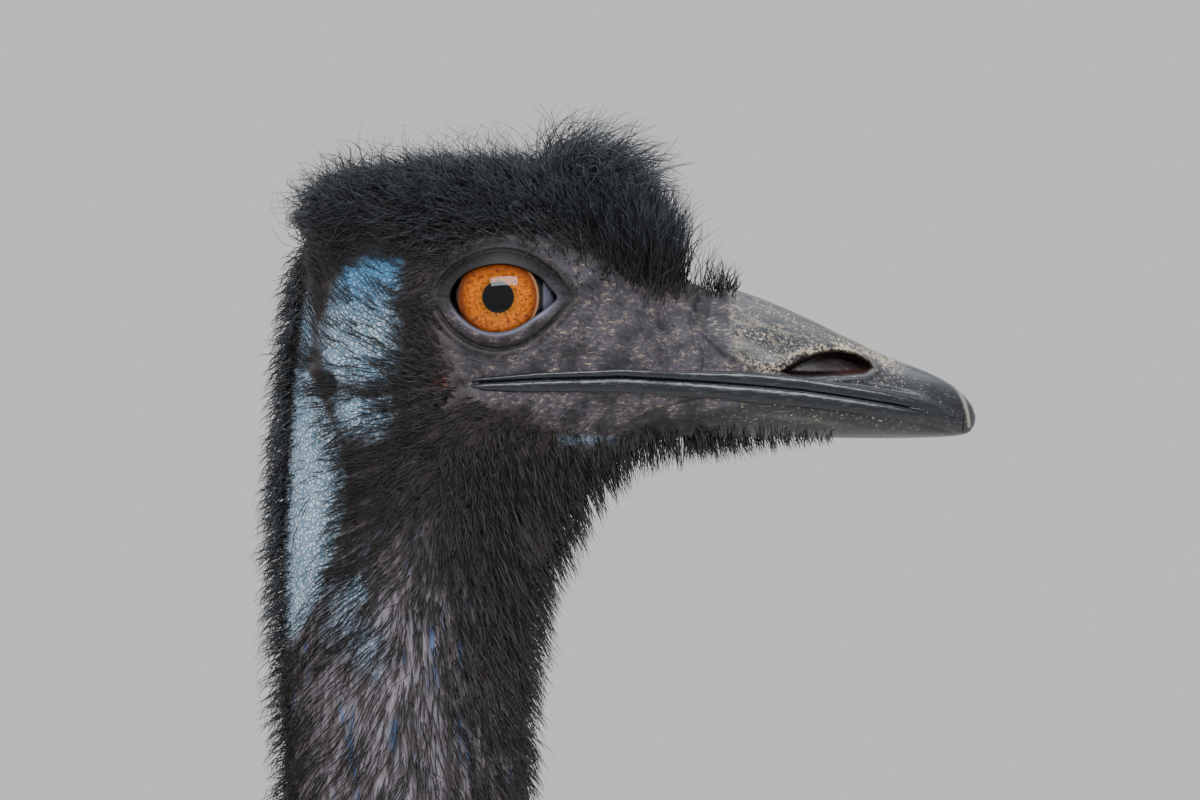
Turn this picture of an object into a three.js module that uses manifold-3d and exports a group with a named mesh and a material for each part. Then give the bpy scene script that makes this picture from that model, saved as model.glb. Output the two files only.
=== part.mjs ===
// An adult emu standing at rest, life size, in millimetres: +X is ahead, +Y its left, +Z up.
// Head, neck, torso and tail share one body form, drawn in side view by two rails, the back
// and the front, with a half width between them. Thin cuts part it into its nodes.
// The shaggy plumage is flat, tapered locks with their roots sunk into that body.
import * as THREE from "three";
import { mergeVertices } from "three/addons/utils/BufferGeometryUtils.js";
import Module from "manifold-3d";

const wasm = await Module();
wasm.setup();

// Driving dimensions
const eyeHeight = 1600; // floor to the middle of the eye
const eyeSpread = 20; // eyeball's centre from the middle plane
const eyeRadius = 15;
const meetGap = 0.3; // between two nodes that meet
const lockRoom = 0.6; // left round a lock that hangs over the next node
const hockHeight = 415;
const hockBehind = 44; // how far the hock stands behind the ankle
const ankleHeight = 62; // where the shin ends and the foot begins
const stanceWidth = 76; // each leg from the middle plane
const stride = 26; // left foot ahead, right foot behind
const footForward = -360; // middle of both ankles, from the eye
const floor = -eyeHeight; // heights below are from the middle of the eye
const seedStart = 20;

// Body form: [x, z] of the back and front rails from the eye, half width, where along the
// section it is widest (0 back, 1 front), how square its two ends are, and the depth of the
// coat's core over the skin.
const bodyForm = [
  { back: [52.6, 2.2], front: [47.2, -34.2], half: 17.6, widest: 0.6, square: [1.9, 2.1], core: 0.2 },
  { back: [42.5, 6.5], front: [41.5, -34.8], half: 20, widest: 0.56, square: [1.9, 2], core: 0.4 },
  { back: [37, 15], front: [35.5, -36.2], half: 23, widest: 0.52, square: [2, 2], core: 0.8 },
  { back: [27, 23.5], front: [29.5, -39.8], half: 26, widest: 0.46, square: [2.2, 1.8], core: 1 },
  { back: [14.8, 28], front: [24, -45.2], half: 28.6, widest: 0.41, square: [2.3, 1.7], core: 1 },
  { back: [2.3, 29.8], front: [19.2, -51], half: 30.2, widest: 0.39, square: [2.3, 1.7], core: 1 },
  { back: [-11.5, 30], front: [15.3, -57], half: 31, widest: 0.39, square: [2.3, 1.7], core: 1 },
  { back: [-25.3, 29.2], front: [12.2, -63], half: 31, widest: 0.41, square: [2.2, 1.8], core: 1 },
  { back: [-37.3, 26], front: [10, -69.2], half: 30.6, widest: 0.44, square: [2.1, 1.9], core: 1 },
  { back: [-44.8, 19.5], front: [8.5, -75.2], half: 30, widest: 0.47, square: [2, 2], core: 1 },
  { back: [-48.3, 8.8], front: [7.3, -81.4], half: 29.5, widest: 0.5, square: [2, 2], core: 1 },
  { back: [-50.5, -5], front: [6.3, -88], half: 29.5, widest: 0.5, square: [2, 2], core: 1 },
  { back: [-52.3, -20], front: [5.5, -95], half: 29.5, widest: 0.5, square: [2, 2], core: 1 },
  { back: [-53.5, -37], front: [5.3, -103.8], half: 29.5, widest: 0.5, square: [2, 2], core: 1 },
  { back: [-54.3, -55], front: [5.3, -113], half: 29.5, widest: 0.5, square: [2, 2], core: 1 },
  { back: [-54.3, -80], front: [5.5, -126], half: 29.5, widest: 0.5, square: [2, 2], core: 1 },
  { back: [-52.5, -120], front: [6.8, -150], half: 30, widest: 0.5, square: [2, 2], core: 1 },
  { back: [-50, -165], front: [9, -185], half: 30.5, widest: 0.5, square: [2, 2], core: 1.2 },
  { back: [-47, -220], front: [12.5, -233], half: 31.5, widest: 0.5, square: [2, 2], core: 2 },
  { back: [-44, -285], front: [18, -292], half: 33, widest: 0.5, square: [2, 2], core: 3 },
  { back: [-42, -352], front: [25, -354], half: 35, widest: 0.5, square: [2, 2], core: 4 },
  { back: [-45, -420], front: [32, -418], half: 39, widest: 0.5, square: [2, 2], core: 6 },
  { back: [-57, -485], front: [37, -484], half: 46, widest: 0.5, square: [2, 2], core: 8 },
  { back: [-84, -545], front: [38, -555], half: 58, widest: 0.5, square: [2, 2], core: 10 },
  { back: [-128, -596], front: [34, -630], half: 76, widest: 0.52, square: [2, 2], core: 13 },
  { back: [-186, -630], front: [22, -712], half: 100, widest: 0.54, square: [2, 2], core: 16 },
  { back: [-248, -646], front: [-2, -790], half: 128, widest: 0.54, square: [2, 2.1], core: 18 },
  { back: [-310, -648], front: [-46, -858], half: 150, widest: 0.53, square: [2, 2.2], core: 20 },
  { back: [-370, -642], front: [-112, -906], half: 164, widest: 0.52, square: [2, 2.2], core: 20 },
  { back: [-430, -638], front: [-192, -938], half: 172, widest: 0.52, square: [2, 2.2], core: 20 },
  { back: [-490, -640], front: [-280, -958], half: 173, widest: 0.52, square: [2, 2.2], core: 20 },
  { back: [-545, -652], front: [-368, -966], half: 166, widest: 0.52, square: [2, 2.2], core: 20 },
  { back: [-600, -676], front: [-448, -964], half: 149, widest: 0.52, square: [2, 2.1], core: 18 },
  { back: [-648, -710], front: [-520, -950], half: 124, widest: 0.52, square: [2, 2], core: 16 },
  { back: [-684, -752], front: [-584, -926], half: 96, widest: 0.5, square: [2, 2], core: 14 },
  { back: [-708, -796], front: [-638, -898], half: 66, widest: 0.5, square: [2, 2], core: 12 },
  { back: [-722, -836], front: [-684, -876], half: 36, widest: 0.5, square: [2, 2], core: 8 },
];

// Stations of that form where one node ends and the next begins
const headEnd = 12;
const neckMiddle = 18;
const neckFlare = 22;
const neckEnd = 24.5;
const tailStart = 33;
const formEnd = bodyForm.length - 1;

// Bill: the same kind of rails, from the head's front face to the tip
const billForm = [
  { back: [52.9, 2.2], front: [47.5, -34.2], half: 17.6, widest: 0.6, square: [1.9, 2.1], core: 0 },
  { back: [58, 2.6], front: [55.5, -34.4], half: 17.9, widest: 0.63, square: [1.9, 2.1], core: 0 },
  { back: [65, 0.4], front: [64.5, -34.2], half: 17.2, widest: 0.63, square: [1.8, 2.2], core: 0 },
  { back: [75, -3.8], front: [75, -34.3], half: 15.9, widest: 0.62, square: [1.7, 2.3], core: 0 },
  { back: [87, -9.6], front: [87, -34.5], half: 13.8, widest: 0.6, square: [1.7, 2.3], core: 0 },
  { back: [97, -14.3], front: [97, -34.6], half: 11.5, widest: 0.58, square: [1.8, 2.3], core: 0 },
  { back: [107, -18.2], front: [107, -34.4], half: 8.7, widest: 0.57, square: [1.9, 2.2], core: 0 },
  { back: [113.5, -21.8], front: [113.3, -34], half: 6.2, widest: 0.55, square: [2, 2.1], core: 0 },
  { back: [117.2, -25.6], front: [116.8, -33.2], half: 3.6, widest: 0.5, square: [2, 2], core: 0 },
  { back: [118.6, -28.6], front: [118.3, -31.4], half: 1.2, widest: 0.5, square: [2, 2], core: 0 },
];
const mouthLine = [
  [-7, -20.8], [10, -19.8], [30, -19.2], [47, -20.2], [65, -21.6], [75, -22.6],
  [87, -24.4], [97, -26], [107, -27.8], [112.6, -29.4], [115, -31.6], [115.6, -37],
];
const mouthSlit = 0.8;
const lipRadius = 1.7;
const nostril = { at: [80.6, 14.2, -16.8], reach: [12.2, 6, 3.8] };
const ear = { at: [-43, 24.5, -21], radius: 4.6 };

// Small tools

function randomFrom(seed) {
  let state = seed;
  return () => {
    state = (state + 0x6d2b79f5) | 0;
    let t = Math.imul(state ^ (state >>> 15), 1 | state);
    t = (t + Math.imul(t ^ (t >>> 7), 61 | t)) ^ t;
    return ((t ^ (t >>> 14)) >>> 0) / 4294967296;
  };
}

const vec = (x, y, z) => new THREE.Vector3(x, y, z);
const mix = THREE.MathUtils.lerp;
const smooth = THREE.MathUtils.smoothstep;

function solidFrom(points, faces) {
  const vertProperties = new Float32Array(points.flatMap((p) => [p.x, p.y, p.z]));
  const build = (tris) =>
    new wasm.Manifold(new wasm.Mesh({ numProp: 3, vertProperties, triVerts: new Uint32Array(tris.flat()) }));
  const made = build(faces);
  return made.volume() > 0 ? made : build(faces.map(([a, b, c]) => [a, c, b]));
}

function solidFromGeometry(geometry) {
  const bare = geometry.clone();
  bare.deleteAttribute("normal");
  bare.deleteAttribute("uv");
  const merged = mergeVertices(bare, 1e-4);
  const at = merged.attributes.position;
  const points = Array.from({ length: at.count }, (_, i) => vec(at.getX(i), at.getY(i), at.getZ(i)));
  const index = merged.index.array;
  const faces = [];
  for (let i = 0; i < index.length; i += 3) {
    const face = [index[i], index[i + 1], index[i + 2]];
    if (new Set(face).size === 3) faces.push(face);
  }
  return solidFrom(points, faces);
}

function geometryOf(solid) {
  const mesh = solid.getMesh();
  const at = new Float32Array(mesh.numVert * 3);
  for (let i = 0; i < mesh.numVert; i++) {
    at.set(mesh.vertProperties.subarray(i * mesh.numProp, i * mesh.numProp + 3), i * 3);
  }
  const geometry = new THREE.BufferGeometry();
  geometry.setAttribute("position", new THREE.BufferAttribute(at, 3));
  geometry.setIndex(new THREE.BufferAttribute(mesh.triVerts, 1));
  geometry.computeVertexNormals();
  return geometry;
}

function largestOf(solid) {
  const bodies = solid.simplify(meetGap / 3).decompose();
  return bodies.reduce((best, body) => (body.volume() > best.volume() ? body : best));
}

const joined = (solids) => wasm.Manifold.union(solids);

// Rings of points, each joined to the next, with both ends closed by a fan
function loftOf(rings) {
  const points = rings.flat();
  const around = rings[0].length;
  const faces = [];
  for (let r = 0; r + 1 < rings.length; r++) {
    for (let i = 0; i < around; i++) {
      const j = (i + 1) % around;
      const a = r * around;
      const b = a + around;
      faces.push([a + i, a + j, b + j], [a + i, b + j, b + i]);
    }
  }
  for (const [ring, flip] of [[0, true], [rings.length - 1, false]]) {
    const middle = points.length;
    const sum = rings[ring].reduce((total, p) => total.add(p), vec(0, 0, 0));
    points.push(sum.divideScalar(around));
    for (let i = 0; i < around; i++) {
      const j = (i + 1) % around;
      const a = ring * around;
      faces.push(flip ? [middle, a + j, a + i] : [middle, a + i, a + j]);
    }
  }
  return solidFrom(points, faces);
}

// A form between its stations

const splineOf = (points) => new THREE.CatmullRomCurve3(points, false, "catmullrom", 0.5);

function railsOf(form) {
  const curves = {
    back: splineOf(form.map((f) => vec(f.back[0], f.half, f.back[1]))),
    front: splineOf(form.map((f) => vec(f.front[0], f.widest, f.front[1]))),
    extra: splineOf(form.map((f) => vec(f.square[0], f.square[1], f.core))),
  };
  return (station) => {
    const t = station / (form.length - 1);
    const back = curves.back.getPoint(t);
    const front = curves.front.getPoint(t);
    const extra = curves.extra.getPoint(t);
    return { back, front, half: back.y, widest: front.y, square: [extra.x, extra.y], core: extra.z };
  };
}

// Low swellings and hollows of the face: where, how far, how much, in the head only
const faceRelief = [
  { at: [2, 14], reach: [15, 5], out: 2 },
  { at: [26, -6], reach: [12, 9], out: -1.6 },
  { at: [-6, -30], reach: [16, 8], out: 1.6 },
  { at: [-28, -4], reach: [10, 12], out: -1.2 },
  { at: [60, -8], reach: [9, 6], out: 1.6 },
];

function reliefAt(x, z) {
  return faceRelief.reduce((total, r) => {
    const u = (x - r.at[0]) / r.reach[0];
    const v = (z - r.at[1]) / r.reach[1];
    return total + r.out * Math.exp(-(u * u) - v * v);
  }, 0);
}

function sectionPoint(rails, station, angle, grow = 0) {
  const s = rails(station);
  const depth = s.core + grow;
  const span = vec(s.back.x - s.front.x, 0, s.back.z - s.front.z);
  const out = span.clone().normalize().multiplyScalar(depth);
  const back = vec(s.back.x, 0, s.back.z).add(out);
  const front = vec(s.front.x, 0, s.front.z).sub(out);
  const middle = back.clone().lerp(front, s.widest);
  const c = Math.cos(angle);
  const w = Math.sin(angle);
  const square = c > 0 ? s.square[0] : s.square[1];
  const along = Math.abs(c) ** (2 / square);
  const across = Math.abs(w) ** (2 / square) * Math.sign(w);
  const point = middle.clone().lerp(c > 0 ? back : front, along);
  point.y = (s.half + depth) * across;
  point.y += reliefAt(point.x, point.z) * across * Math.abs(across);
  return point;
}

function formRings(rails, from, to, step, around, grow = 0) {
  const count = Math.max(1, Math.round((to - from) / step));
  return Array.from({ length: count + 1 }, (_, k) => {
    const station = mix(from, to, k / count);
    return Array.from({ length: around }, (_, i) =>
      sectionPoint(rails, station, ((i + 0.5) / around) * Math.PI * 2, grow),
    );
  });
}

// A node's length of the form, moved off its neighbours by half a gap at each cut
function formSlice(rails, from, to, step, around, grow = 0) {
  const rings = formRings(rails, from, to, step, around, grow);
  const ends = [[0, 1, from > 0], [rings.length - 1, rings.length - 2, to < formEnd]];
  for (const [end, inner, isCut] of ends) {
    if (!isCut) continue;
    const shift = rings[inner][0].clone().sub(rings[end][0]);
    shift.y = 0;
    shift.add(vec(rings[inner][Math.floor(around / 2)].x, 0, rings[inner][Math.floor(around / 2)].z));
    shift.sub(vec(rings[end][Math.floor(around / 2)].x, 0, rings[end][Math.floor(around / 2)].z));
    shift.normalize().multiplyScalar(meetGap * 0.6);
    rings[end].forEach((p) => p.add(shift));
  }
  return loftOf(rings);
}

const bodyRails = railsOf(bodyForm);
const billRails = railsOf(billForm);

function surfaceAt(station, angle) {
  const point = sectionPoint(bodyRails, station, angle);
  const step = 0.02;
  const ahead = sectionPoint(bodyRails, Math.min(station + step, formEnd), angle);
  const behind = sectionPoint(bodyRails, Math.max(station - step, 0), angle);
  const left = sectionPoint(bodyRails, station, angle + step);
  const right = sectionPoint(bodyRails, station, angle - step);
  const normal = ahead.sub(behind).cross(left.sub(right)).normalize();
  const inside = bodyRails(station);
  const core = vec(inside.back.x, 0, inside.back.z).lerp(vec(inside.front.x, 0, inside.front.z), 0.5);
  if (normal.dot(point.clone().sub(core)) < 0) normal.negate();
  return { point, normal };
}

// A leg's length as level ovals: [x, y, height, reach along x, reach along y]
function limbOf(levels, around, grow = 0) {
  return loftOf(
    levels.map(([x, y, z, rx, ry]) =>
      Array.from({ length: around }, (_, i) => {
        const a = ((i + 0.5) / around) * Math.PI * 2;
        return vec(x + Math.cos(a) * (rx + grow), y + Math.sin(a) * (ry + grow), floor + z);
      }),
    ),
  );
}

// The front of the shin carries a row of plates, each with its lower edge standing out
function plateLevels(levels, count) {
  const plain = smoothLevels(levels, count * 2);
  return plain.map(([x, y, z, rx, ry], k) => {
    const out = k > count * 0.5 && k < count * 2 ? (k % 2 ? shinPlate : -shinPlate) / 2 : 0;
    return [x + out, y, z - (k % 2 ? 0 : out) * 4, rx + out, ry + out * 0.3];
  });
}

function smoothLevels(levels, count) {
  const place = splineOf(levels.map(([x, y, z]) => vec(x, y, z)));
  const reach = splineOf(levels.map(([, , , rx, ry]) => vec(rx, ry, 0)));
  return Array.from({ length: count + 1 }, (_, k) => {
    const p = place.getPoint(k / count);
    const r = reach.getPoint(k / count);
    return [p.x, p.y, p.z, r.x, r.y];
  });
}

// Nearest place on a set of bodies, for locks that lie over them

function probeOf(solids) {
  const triangles = solids.flatMap((solid) => {
    const geometry = geometryOf(solid);
    const at = geometry.attributes.position;
    const normals = geometry.attributes.normal;
    const index = geometry.index.array;
    const corner = (attribute, i) => vec(attribute.getX(i), attribute.getY(i), attribute.getZ(i));
    const list = [];
    for (let i = 0; i < index.length; i += 3) {
      const ids = [index[i], index[i + 1], index[i + 2]];
      const corners = ids.map((id) => corner(at, id));
      const face = new THREE.Triangle(...corners);
      const middle = face.getMidpoint(vec(0, 0, 0));
      const reach = Math.max(...corners.map((c) => c.distanceTo(middle)));
      list.push({ face, middle, reach, normals: ids.map((id) => corner(normals, id)) });
    }
    return list;
  });
  const spot = vec(0, 0, 0);
  return (p) => {
    let best = Infinity;
    let found = null;
    for (const t of triangles) {
      if (p.distanceTo(t.middle) - t.reach > best) continue;
      t.face.closestPointToPoint(p, spot);
      const d = spot.distanceTo(p);
      if (d < best) {
        best = d;
        found = { point: spot.clone(), t };
      }
    }
    const share = found.t.face.getBarycoord(found.point, vec(0, 0, 0)) ?? vec(1 / 3, 1 / 3, 1 / 3);
    const normal = vec(0, 0, 0);
    found.t.normals.forEach((n, i) => normal.addScaledVector(n, share.getComponent(i)));
    return { point: found.point, normal: normal.normalize() };
  };
}

// A lock's line: from its sunk root along the lie, never nearer to the bodies than its lift
function lockLine(root, normal, shape, probe, lie) {
  const wayAt = (p, n) => {
    const way = lie(p, n).normalize();
    return way.addScaledVector(way.clone().cross(n), shape.sway).normalize();
  };
  const start = root.clone().addScaledVector(normal, -shape.sink);
  const line = [{ p: start.addScaledVector(wayAt(root, normal), -shape.sink * 0.4), n: normal }];
  let p = root.clone();
  for (let k = 1; k <= shape.steps; k++) {
    const here = probe(p);
    p = p.clone().addScaledVector(wayAt(p, here.normal), shape.length / shape.steps);
    const there = probe(p);
    const want = shape.lift(k / shape.steps);
    const height = p.clone().sub(there.point).dot(there.normal);
    if (height < want) p = there.point.clone().addScaledVector(there.normal, want);
    line.push({ p, n: there.normal });
  }
  return line;
}

// The lock itself: a blade with a low ridge, widest a third of the way along, with a fine tip.
// Grown, it is the room that a neighbour leaves for it.
function lockSolid(line, shape, grow = 0) {
  const last = line.length - 1;
  const rings = line.slice(0, last).map(({ p, n }, k) => {
    const ahead = line[k + 1].p.clone().sub(k ? line[k - 1].p : p).normalize();
    const side = ahead.clone().cross(n).normalize();
    const up = side.clone().cross(ahead).normalize();
    const t = k / last;
    const spread = t < 0.34 ? mix(0.7, 1, t / 0.34) : 1 - 0.62 * ((t - 0.34) / 0.66) ** 1.4;
    const thick = shape.thick * (1 - 0.5 * t) + grow * 2;
    const half = (shape.width * 0.5 * spread) / (1 - (grow * 1.4) / thick) + grow;
    const foot = p.clone().addScaledVector(up, -grow);
    if (k === 0) foot.addScaledVector(ahead, -grow);
    return [
      foot.clone().addScaledVector(side, half),
      foot.clone().addScaledVector(up, thick),
      foot.clone().addScaledVector(side, -half),
    ];
  });
  const tip = line[last].p.clone();
  tip.addScaledVector(tip.clone().sub(line[last - 1].p).normalize(), grow * 8);
  const points = [...rings.flat(), tip];
  const faces = [[0, 2, 1]];
  for (let r = 0; r + 1 < rings.length; r++) {
    for (let i = 0; i < 3; i++) {
      const a = r * 3 + i;
      const b = r * 3 + ((i + 1) % 3);
      faces.push([a, b, b + 3], [a, b + 3, a + 3]);
    }
  }
  const end = points.length - 4;
  faces.push([end, end + 1, end + 3], [end + 1, end + 2, end + 3], [end + 2, end, end + 3]);
  return solidFrom(points, faces);
}

// A coat is a list of locks, so that a neighbour can be cut clear of each, bare and grown
const coatSolids = (coat, grow = 0) => coat.map(({ line, shape }) => lockSolid(line, shape, grow));

const between = (range, t) => (Array.isArray(range) ? mix(range[0], range[1], t) : range);

// The shape of one lock of a coat, at t of the way from its first row to its last
function lockShape(spec, t, random) {
  const vary = 0.86 + random() * 0.28;
  const [rise, stand] = spec.lift;
  return {
    length: between(spec.length, t) * vary,
    width: between(spec.width, t) * (0.88 + random() * 0.24),
    thick: between(spec.thick, t),
    sink: between(spec.sink, t),
    steps: spec.steps,
    sway: (random() - 0.5) * spec.sway,
    lift: (along) => mix(between(rise, t), between(stand, t) * (0.85 + vary * 0.15), along),
  };
}

// Locks in staggered rows across the body: the rows go from one station to another, and each
// row's locks from one angle off the middle of the back to another, alike on both sides
function growCoat(spec, probe, random) {
  const coat = [];
  for (let row = 0; row < spec.rows; row++) {
    const t = spec.rows > 1 ? row / (spec.rows - 1) : 0;
    const perSide = Math.round(between(spec.perSide, t));
    for (let k = 0; k < perSide; k++) {
      const place = (k + (row % 2 ? 0.72 : 0.28)) / perSide;
      for (const side of [1, -1]) {
        const turn = mix(spec.arc[0], between(spec.arc[1], t), place) + (random() - 0.5) * spec.jitter;
        const station = mix(spec.from, spec.to, t) + (random() - 0.5) * spec.slip;
        const { point, normal } = surfaceAt(station, side * THREE.MathUtils.degToRad(turn));
        const shape = lockShape(spec, t, random);
        coat.push({ shape, line: lockLine(point, normal, shape, probe, spec.lie) });
      }
    }
  }
  return coat;
}

// A thigh's locks: rings of them round the leg, from under the flank down to the hock
function growLegCoat(spec, levels, side, probe, random) {
  const coat = [];
  for (let row = 0; row < spec.rows; row++) {
    const t = row / (spec.rows - 1);
    const [x, y, height, rx, ry] = levels[Math.round(mix(spec.from, spec.to, t) * (levels.length - 1))];
    const around = Math.round(between(spec.around, t));
    for (let k = 0; k < around; k++) {
      const a = ((k + (row % 2) * 0.5 + (random() - 0.5) * spec.jitter) / around) * Math.PI * 2;
      const out = vec(Math.cos(a) / rx, (side * Math.sin(a)) / ry, 0).normalize();
      const level = floor + height + (random() - 0.5) * spec.slip;
      const root = vec(x + Math.cos(a) * rx, y + side * Math.sin(a) * ry, level);
      const shape = lockShape(spec, t, random);
      coat.push({ shape, line: lockLine(root, out, shape, probe, spec.lie) });
    }
  }
  return coat;
}

// Legs

const legSides = { left: 1, right: -1 };
const footAt = (side) => ({ x: footForward + side * stride, y: side * stanceWidth });

function legLevels(side) {
  const foot = footAt(side);
  const hockX = footForward - hockBehind + side * stride * 0.6;
  const across = side * stanceWidth;
  return {
    thigh: [
      [footForward - 2, across + side * 20, hockHeight + 330, 96, 50],
      [footForward - 4, across + side * 18, hockHeight + 250, 88, 50],
      [footForward - 8, across + side * 13, hockHeight + 180, 72, 44],
      [mix(footForward - 8, hockX, 0.6), across + side * 6, hockHeight + 115, 49, 34],
      [hockX + 3, across + side * 1, hockHeight + 55, 31, 23],
    ],
    shin: [
      [hockX + 3, across, hockHeight + 55 - meetGap, 29, 21.5],
      [hockX, across, hockHeight + 28, 29, 22],
      [hockX - 3, across, hockHeight, 31, 24],
      [hockX, across, hockHeight - 32, 26, 20],
      [mix(hockX, foot.x, 0.25), across, hockHeight - 90, 20, 15.5],
      [mix(hockX, foot.x, 0.55), across, 220, 18.5, 14.5],
      [mix(hockX, foot.x, 0.8), across, 125, 19, 15.5],
      [foot.x - 1, across, ankleHeight, 21, 19],
    ],
    ankle: [
      [foot.x - 1, across, ankleHeight - meetGap, 21, 19],
      [foot.x, across, ankleHeight * 0.62, 24, 24],
      [foot.x + 2, across, ankleHeight * 0.25, 25, 27],
      [foot.x + 3, across, 0, 20, 23],
    ],
  };
}

// Toes: outward turn in degrees, then length, width and height, and the claw's length
const toes = {
  inner: { turn: -29, length: 84, width: 26, height: 25, claw: 27 },
  middle: { turn: 2, length: 130, width: 30, height: 29, claw: 31 },
  outer: { turn: 32, length: 90, width: 25, height: 24, claw: 25 },
};
const shinPlates = 10;
const shinPlate = 1.6; // how far each plate's edge stands out
const toeScutes = 0.05; // how far the plates stand up, as a share of the toe's height

// Rings along a toe or claw: an arch over a flat sole, at [distance, half width, sole, top]
function archRings(from, heading, stops, around) {
  const across = vec(-Math.sin(heading), Math.cos(heading), 0);
  const along = vec(Math.cos(heading), Math.sin(heading), 0);
  return stops.map(([distance, half, low, high]) => {
    const waist = mix(low, high, 0.35);
    return Array.from({ length: around }, (_, i) => {
      const a = ((i + 0.5) / around) * Math.PI * 2;
      const rise = Math.sin(a);
      const p = from.clone().addScaledVector(along, distance);
      p.addScaledVector(across, Math.cos(a) * half * (rise > 0 ? 1 : 0.86));
      p.z = floor + (rise > 0 ? mix(waist, high, rise ** 0.8) : mix(waist, low, Math.min(1, -rise * 2.2)));
      return p;
    });
  });
}

function toeStops(toe) {
  const count = Math.round(toe.length / 12);
  return Array.from({ length: count + 1 }, (_, k) => {
    const t = k / count;
    const pads = 1 + 0.06 * Math.sin(t * Math.PI * 6 + 1);
    const scute = 1 + (k % 2 ? toeScutes : -toeScutes) * 0.5;
    const half = toe.width * 0.5 * mix(1, 0.66, t) * pads;
    return [t * toe.length, half, 0, toe.height * mix(1.1, 0.62, t) * scute];
  });
}

function clawStops(toe) {
  return [0, 0.3, 0.6, 0.85, 1].map((t) => {
    const half = toe.width * 0.28 * (1 - t ** 1.4) + 0.8;
    const sole = Math.max(0, t * 1.5 - 0.5);
    return [toe.length + meetGap + t * toe.claw, half, sole, toe.height * 0.54 * (1 - t ** 1.5) + 2.2];
  });
}

// Face pieces

function tubeOf(points, radii, around) {
  const rings = points.map((p, k) => {
    const ahead = points[Math.min(k + 1, points.length - 1)].clone();
    ahead.sub(points[Math.max(k - 1, 0)]).normalize();
    const side = vec(0, 1, 0).cross(ahead).normalize();
    const up = ahead.clone().cross(side).normalize();
    return Array.from({ length: around }, (_, i) => {
      const a = ((i + 0.5) / around) * Math.PI * 2;
      const rim = p.clone().addScaledVector(side, Math.cos(a) * radii[k]);
      return rim.addScaledVector(up, Math.sin(a) * radii[k]);
    });
  });
  return loftOf(rings);
}

function ringSolid(centres, radii, middle, around) {
  const points = [];
  const count = centres.length;
  centres.forEach((c, k) => {
    const away = c.clone().sub(middle).setY(0).normalize();
    for (let i = 0; i < around; i++) {
      const a = (i / around) * Math.PI * 2;
      const p = c.clone().addScaledVector(away, Math.cos(a) * radii[k]);
      p.y += Math.sin(a) * radii[k];
      points.push(p);
    }
  });
  const faces = [];
  for (let k = 0; k < count; k++) {
    const n = (k + 1) % count;
    for (let i = 0; i < around; i++) {
      const j = (i + 1) % around;
      const corners = [k * around + i, k * around + j, n * around + j, n * around + i];
      faces.push([corners[0], corners[1], corners[2]], [corners[0], corners[2], corners[3]]);
    }
  }
  return solidFrom(points, faces);
}

// The eye as a turned plug: a flat back in the head and the eyeball's own curve in front
function eyePlug(side, grow) {
  const backDepth = 7;
  const radius = eyeRadius + grow;
  const flat = Math.sqrt(eyeRadius ** 2 - backDepth ** 2) + grow;
  const profile = [new THREE.Vector2(0, backDepth - grow), new THREE.Vector2(flat, backDepth - grow)];
  const bend = Math.asin(Math.min(1, flat / radius));
  for (let k = 0; k <= 4; k++) {
    const a = bend * (1 - k / 4);
    profile.push(new THREE.Vector2(k === 4 ? 0 : Math.sin(a) * radius, Math.cos(a) * radius));
  }
  const turned = new THREE.LatheGeometry(profile, 15);
  turned.translate(0, eyeSpread, 0);
  if (side < 0) turned.rotateX(Math.PI);
  return solidFromGeometry(turned);
}

function lidSolid(side) {
  const count = 14;
  const centres = [];
  const radii = [];
  for (let k = 0; k < count; k++) {
    const a = (k / count) * Math.PI * 2;
    const x = Math.cos(a) * 12.4 + 0.5;
    const z = Math.sin(a) * (Math.sin(a) > 0 ? 9.4 : 9.8) - 0.3;
    const y = eyeSpread + Math.sqrt(Math.max(0, (eyeRadius + 0.2) ** 2 - x * x * 0.8 - z * z));
    centres.push(vec(x, side * y, z));
    radii.push(Math.sin(a) > 0.2 ? 2.2 : 1.8);
  }
  return ringSolid(centres, radii, vec(0.5, 0, -0.3), 4);
}

function sideOfHead(headGeometry, x, z, side) {
  const mesh = new THREE.Mesh(headGeometry, new THREE.MeshBasicMaterial({ side: THREE.DoubleSide }));
  const ray = new THREE.Raycaster(vec(x, side * 80, z), vec(0, -side, 0));
  const hits = ray.intersectObject(mesh);
  return hits.length ? hits[0].point.y : 0;
}

function lipSolid(headGeometry, side, above) {
  const count = 4;
  const line = new THREE.SplineCurve(mouthLine.slice(0, 4).map(([x, z]) => new THREE.Vector2(x, z)));
  const points = [];
  const radii = [];
  for (let k = 0; k <= count; k++) {
    const t = k / count;
    const at = line.getPoint(t);
    const z = at.y + (above ? 1 : -1) * (0.3 + lipRadius * mix(0.4, 0.95, t));
    const x = Math.min(at.x, 46.4);
    points.push(vec(x, sideOfHead(headGeometry, x, z, side) - side * 0.5, z));
    radii.push(lipRadius * mix(0.45, 1, Math.min(1, t * 2)));
  }
  return tubeOf(points, radii, 5);
}

function ellipsoid(at, reach, side) {
  const ball = new THREE.SphereGeometry(1, 10, 7);
  ball.scale(...reach);
  ball.translate(at[0], side * at[1], at[2]);
  return solidFromGeometry(ball);
}

// Which way each coat lies: a direction at a place, laid along the surface there, or held to
// it less where the surface turns under and the coat hangs free
const laid = (way, n, hold = 1) => way.addScaledVector(n, -way.dot(n) * hold);

function bodyLie(p, n) {
  const top = Math.max(0, n.z);
  const rear = smooth(-p.x, 480, 680);
  const out = 0.75 * Math.sign(p.y) * top * (1 - rear * 0.5);
  const way = vec(-mix(0.62, 0.3, rear), out, -mix(1.15, 0.28, top) - rear * 0.4);
  return laid(way, n, 1 - smooth(-n.z, -0.1, 0.4));
}

const legLie = (p, n) => laid(vec(-0.2, 0, -1), n);
const neckLie = (p, n) => laid(vec(-0.12, 0, -1), n, 1 - smooth(-n.z, 0.1, 0.6));
const throatLie = (p, n) => laid(vec(0.3, 0, -1), n, 0.75);

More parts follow.
